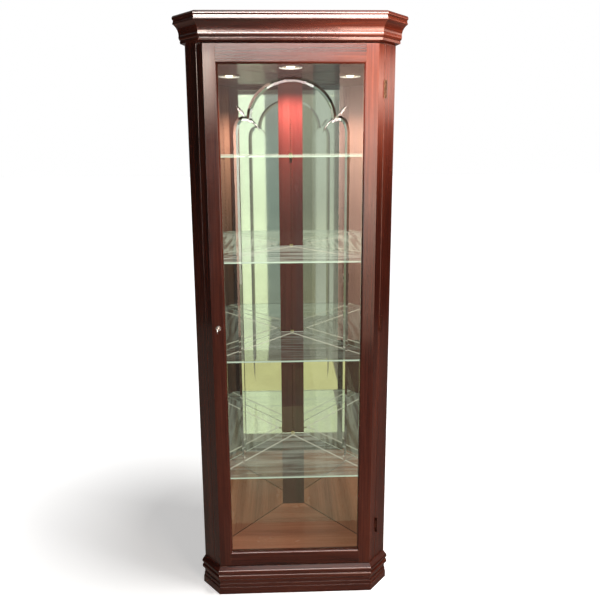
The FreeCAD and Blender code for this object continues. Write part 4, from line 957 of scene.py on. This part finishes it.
def reflector(name, corners, stops, in_mirrors):
    """A glowing card through four corners, its colour set by height. It is seen only by mirrors behind glass,
    or only by what stands in the open."""
    card = sheet(name, corners)
    paint, tree, shader = new_material(name)
    tree.nodes.remove(shader)
    foot, head = stops[0][0], stops[-1][0]
    share = carried(tree, axes(tree, position(tree))["Z"], foot, head)
    shade = ramp(tree, share, *[((z - foot) / (head - foot), colour) for z, colour in stops])
    mottle = noise(tree, position(tree), scale=2.2, detail=4.0)
    uneven = ramp(tree, mottle, (0.35, grey(0.86)), (0.65, grey(1.0)))
    glow = add(tree, "ShaderNodeEmission", {"Color": mix_colours(tree, 1.0, shade, uneven, "MULTIPLY")})
    tree.links.new(glow.outputs[0], tree.nodes["Material Output"].inputs["Surface"])
    card.data.materials.append(paint)
    card.visible_camera = False
    card.visible_diffuse = False
    card.visible_shadow = False
    card.visible_transmission = in_mirrors
    card.visible_glossy = not in_mirrors


def wall_card(name, x_low, x_high, y, stops, in_mirrors):
    """A card across the view, from its lowest stop's height to its highest's."""
    foot, head = stops[0][0], stops[-1][0]
    corners = [(x_low, y, foot), (x_high, y, foot), (x_high, y, head), (x_low, y, head)]
    reflector(name, corners, stops, in_mirrors)


def side_card(name, x, y_low, y_high, stops, in_mirrors):
    """The same along the view."""
    foot, head = stops[0][0], stops[-1][0]
    corners = [(x, y_low, foot), (x, y_high, foot), (x, y_high, head), (x, y_low, head)]
    reflector(name, corners, stops, in_mirrors)


def level_card(name, x_low, x_high, y_low, y_high, z, colour, in_mirrors):
    """A level card of one colour."""
    corners = [(x_low, y_low, z), (x_high, y_low, z), (x_high, y_high, z), (x_low, y_high, z)]
    reflector(name, corners, [(z, colour), (z + 1.0, colour)], in_mirrors)


def make_room(name, in_mirrors, wall, more, behind, beside, ceiling):
    """The plain walls, floor and ceiling of one of the two rooms that reflections show."""
    reach = ROOM_REACH + more
    back = wall - WALL_BEHIND_PANELS
    wall_card(f"{name}_front", -reach, reach, back, ((0.0, behind), (ROOM_HEIGHT, behind)), in_mirrors)
    for side, x in (("left", -reach), ("right", reach)):
        side_card(f"{name}_{side}", x, back, reach, ((0.0, beside), (ROOM_HEIGHT, beside)), in_mirrors)
    level_card(f"{name}_floor", -reach, reach, back, reach, FLOOR_LEVEL, FLOOR_TONE, in_mirrors)
    top = ROOM_HEIGHT + more
    level_card(f"{name}_ceiling", -ROOM_REACH, ROOM_REACH, wall, ROOM_REACH, top, ceiling, in_mirrors)


def make_cards():
    """The rooms that reflections show: one behind glass, in the mirrors, and one in the open."""
    make_room("mirrored", True, MIRRORED_WALL, 0.0, BEHIND_TONE, BEHIND_TONE, CEILING_TONE)
    make_room("open", False, OPEN_WALL, OPEN_ROOM_MORE, ROOM_TONE, SIDE_TONE, ROOM_TONE)
    for name, x_low, x_high, stops in MIRRORED_PANELS:
        wall_card(f"mirrored_{name}", x_low, x_high, MIRRORED_WALL, stops, True)
    for name, x_low, x_high, y_low, y_high, colour in MIRRORED_MATS:
        level_card(f"mirrored_{name}", x_low, x_high, y_low, y_high, MAT_LEVEL, colour, True)
    for name, x_low, x_high, stops in OPEN_PANELS:
        wall_card(f"open_{name}", x_low, x_high, OPEN_WALL, stops, False)
    x_low, x_high, y_low, y_high, colour = CEILING_BOX
    level_card("open_ceiling_box", x_low, x_high, y_low, y_high, ROOM_HEIGHT, colour, False)
    side_card("open_side_box", ROOM_REACH, *SIDE_BOX_DEPTHS, SIDE_BOX_STOPS, False)


# ---------------------------------------------------------------- lamps

BULB_RADIUS = 0.006
WARM = (1.0, 0.84, 0.70)
# The cabinet's own light, in three spots: name, angle in degrees, watts, colour and softness of the edge.
CABINET_SPOTS = (
    ("cabinet_light", 150, 38.0, WARM, 0.51),
    ("cabinet_beam", 38, 48.0, WARM, 0.6),
    ("lamp_spill", 180, 1.0, (1.0, 0.90, 0.76), 0.1),
)


def place_lamp(name, data, place, target):
    """Hangs a lamp that looks at a point. The cards stand for it in the mirrors and the glass."""
    lamp = placed(name, data)
    turn = (Vector(target) - Vector(place)).to_track_quat("-Z", "Y")
    lamp.matrix_world = Matrix.Translation(place) @ turn.to_matrix().to_4x4()
    lamp.visible_glossy = False
    lamp.visible_transmission = False
    return lamp


def area_lamp(name, place, target, width, height, watts, colour):
    """A soft box."""
    data = bpy.data.lights.new(name, "AREA")
    data.shape = "RECTANGLE"
    data.size = width
    data.size_y = height
    data.energy = watts
    data.color = colour
    return place_lamp(name, data, place, target)


def spot_lamp(name, place, target, degrees, radius, watts, colour, blend=1.0):
    """A soft-edged spot."""
    data = bpy.data.lights.new(name, "SPOT")
    data.energy = watts
    data.color = colour
    data.spot_size = math.radians(degrees)
    data.spot_blend = blend
    data.shadow_soft_size = radius
    return place_lamp(name, data, place, target)


def make_lamps():
    """Two spots and two soft boxes in the studio, and the light of the cabinet's own lamp."""
    spot_lamp("key", place=(-0.55, -1.90, 2.20), target=(0.32, -0.19, 1.83),
              degrees=21, radius=0.22, watts=900.0, colour=(1.0, 0.80, 0.66))
    spot_lamp("right_key", place=(1.50, -1.15, 2.00), target=(0.42, -0.12, 1.75),
              degrees=19, radius=0.20, watts=420.0, colour=(1.0, 0.80, 0.62))
    area_lamp("fill", place=(1.0, -1.5, 0.8), target=(0.25, -0.2, 0.5),
              width=0.6, height=0.8, watts=13.0, colour=(1.0, 0.90, 0.80))
    area_lamp("overhead", place=(1.3, -0.5, 3.4), target=(0.0, -0.2, 0.0),
              width=0.8, height=0.8, watts=67.0, colour=(1.0, 0.99, 0.97))
    bulb = (LAMP_MIDDLE.x, LAMP_MIDDLE.y, LAMP_LOW.z - BURNER_DEEP - BURNER_TO_LIGHT)
    below = (bulb[0], bulb[1], 0.0)
    for name, degrees, watts, colour, blend in CABINET_SPOTS:
        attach(spot_lamp(name, bulb, below, degrees, BULB_RADIUS, watts, colour, blend), "case")


make_camera()
make_floor()
make_world()
make_cards()
make_lamps()
dress_woods()
dress_glass()
dress_fittings()
dress_light()

bpy.context.scene.view_settings.view_transform = "Standard"
bpy.context.view_layer.update()
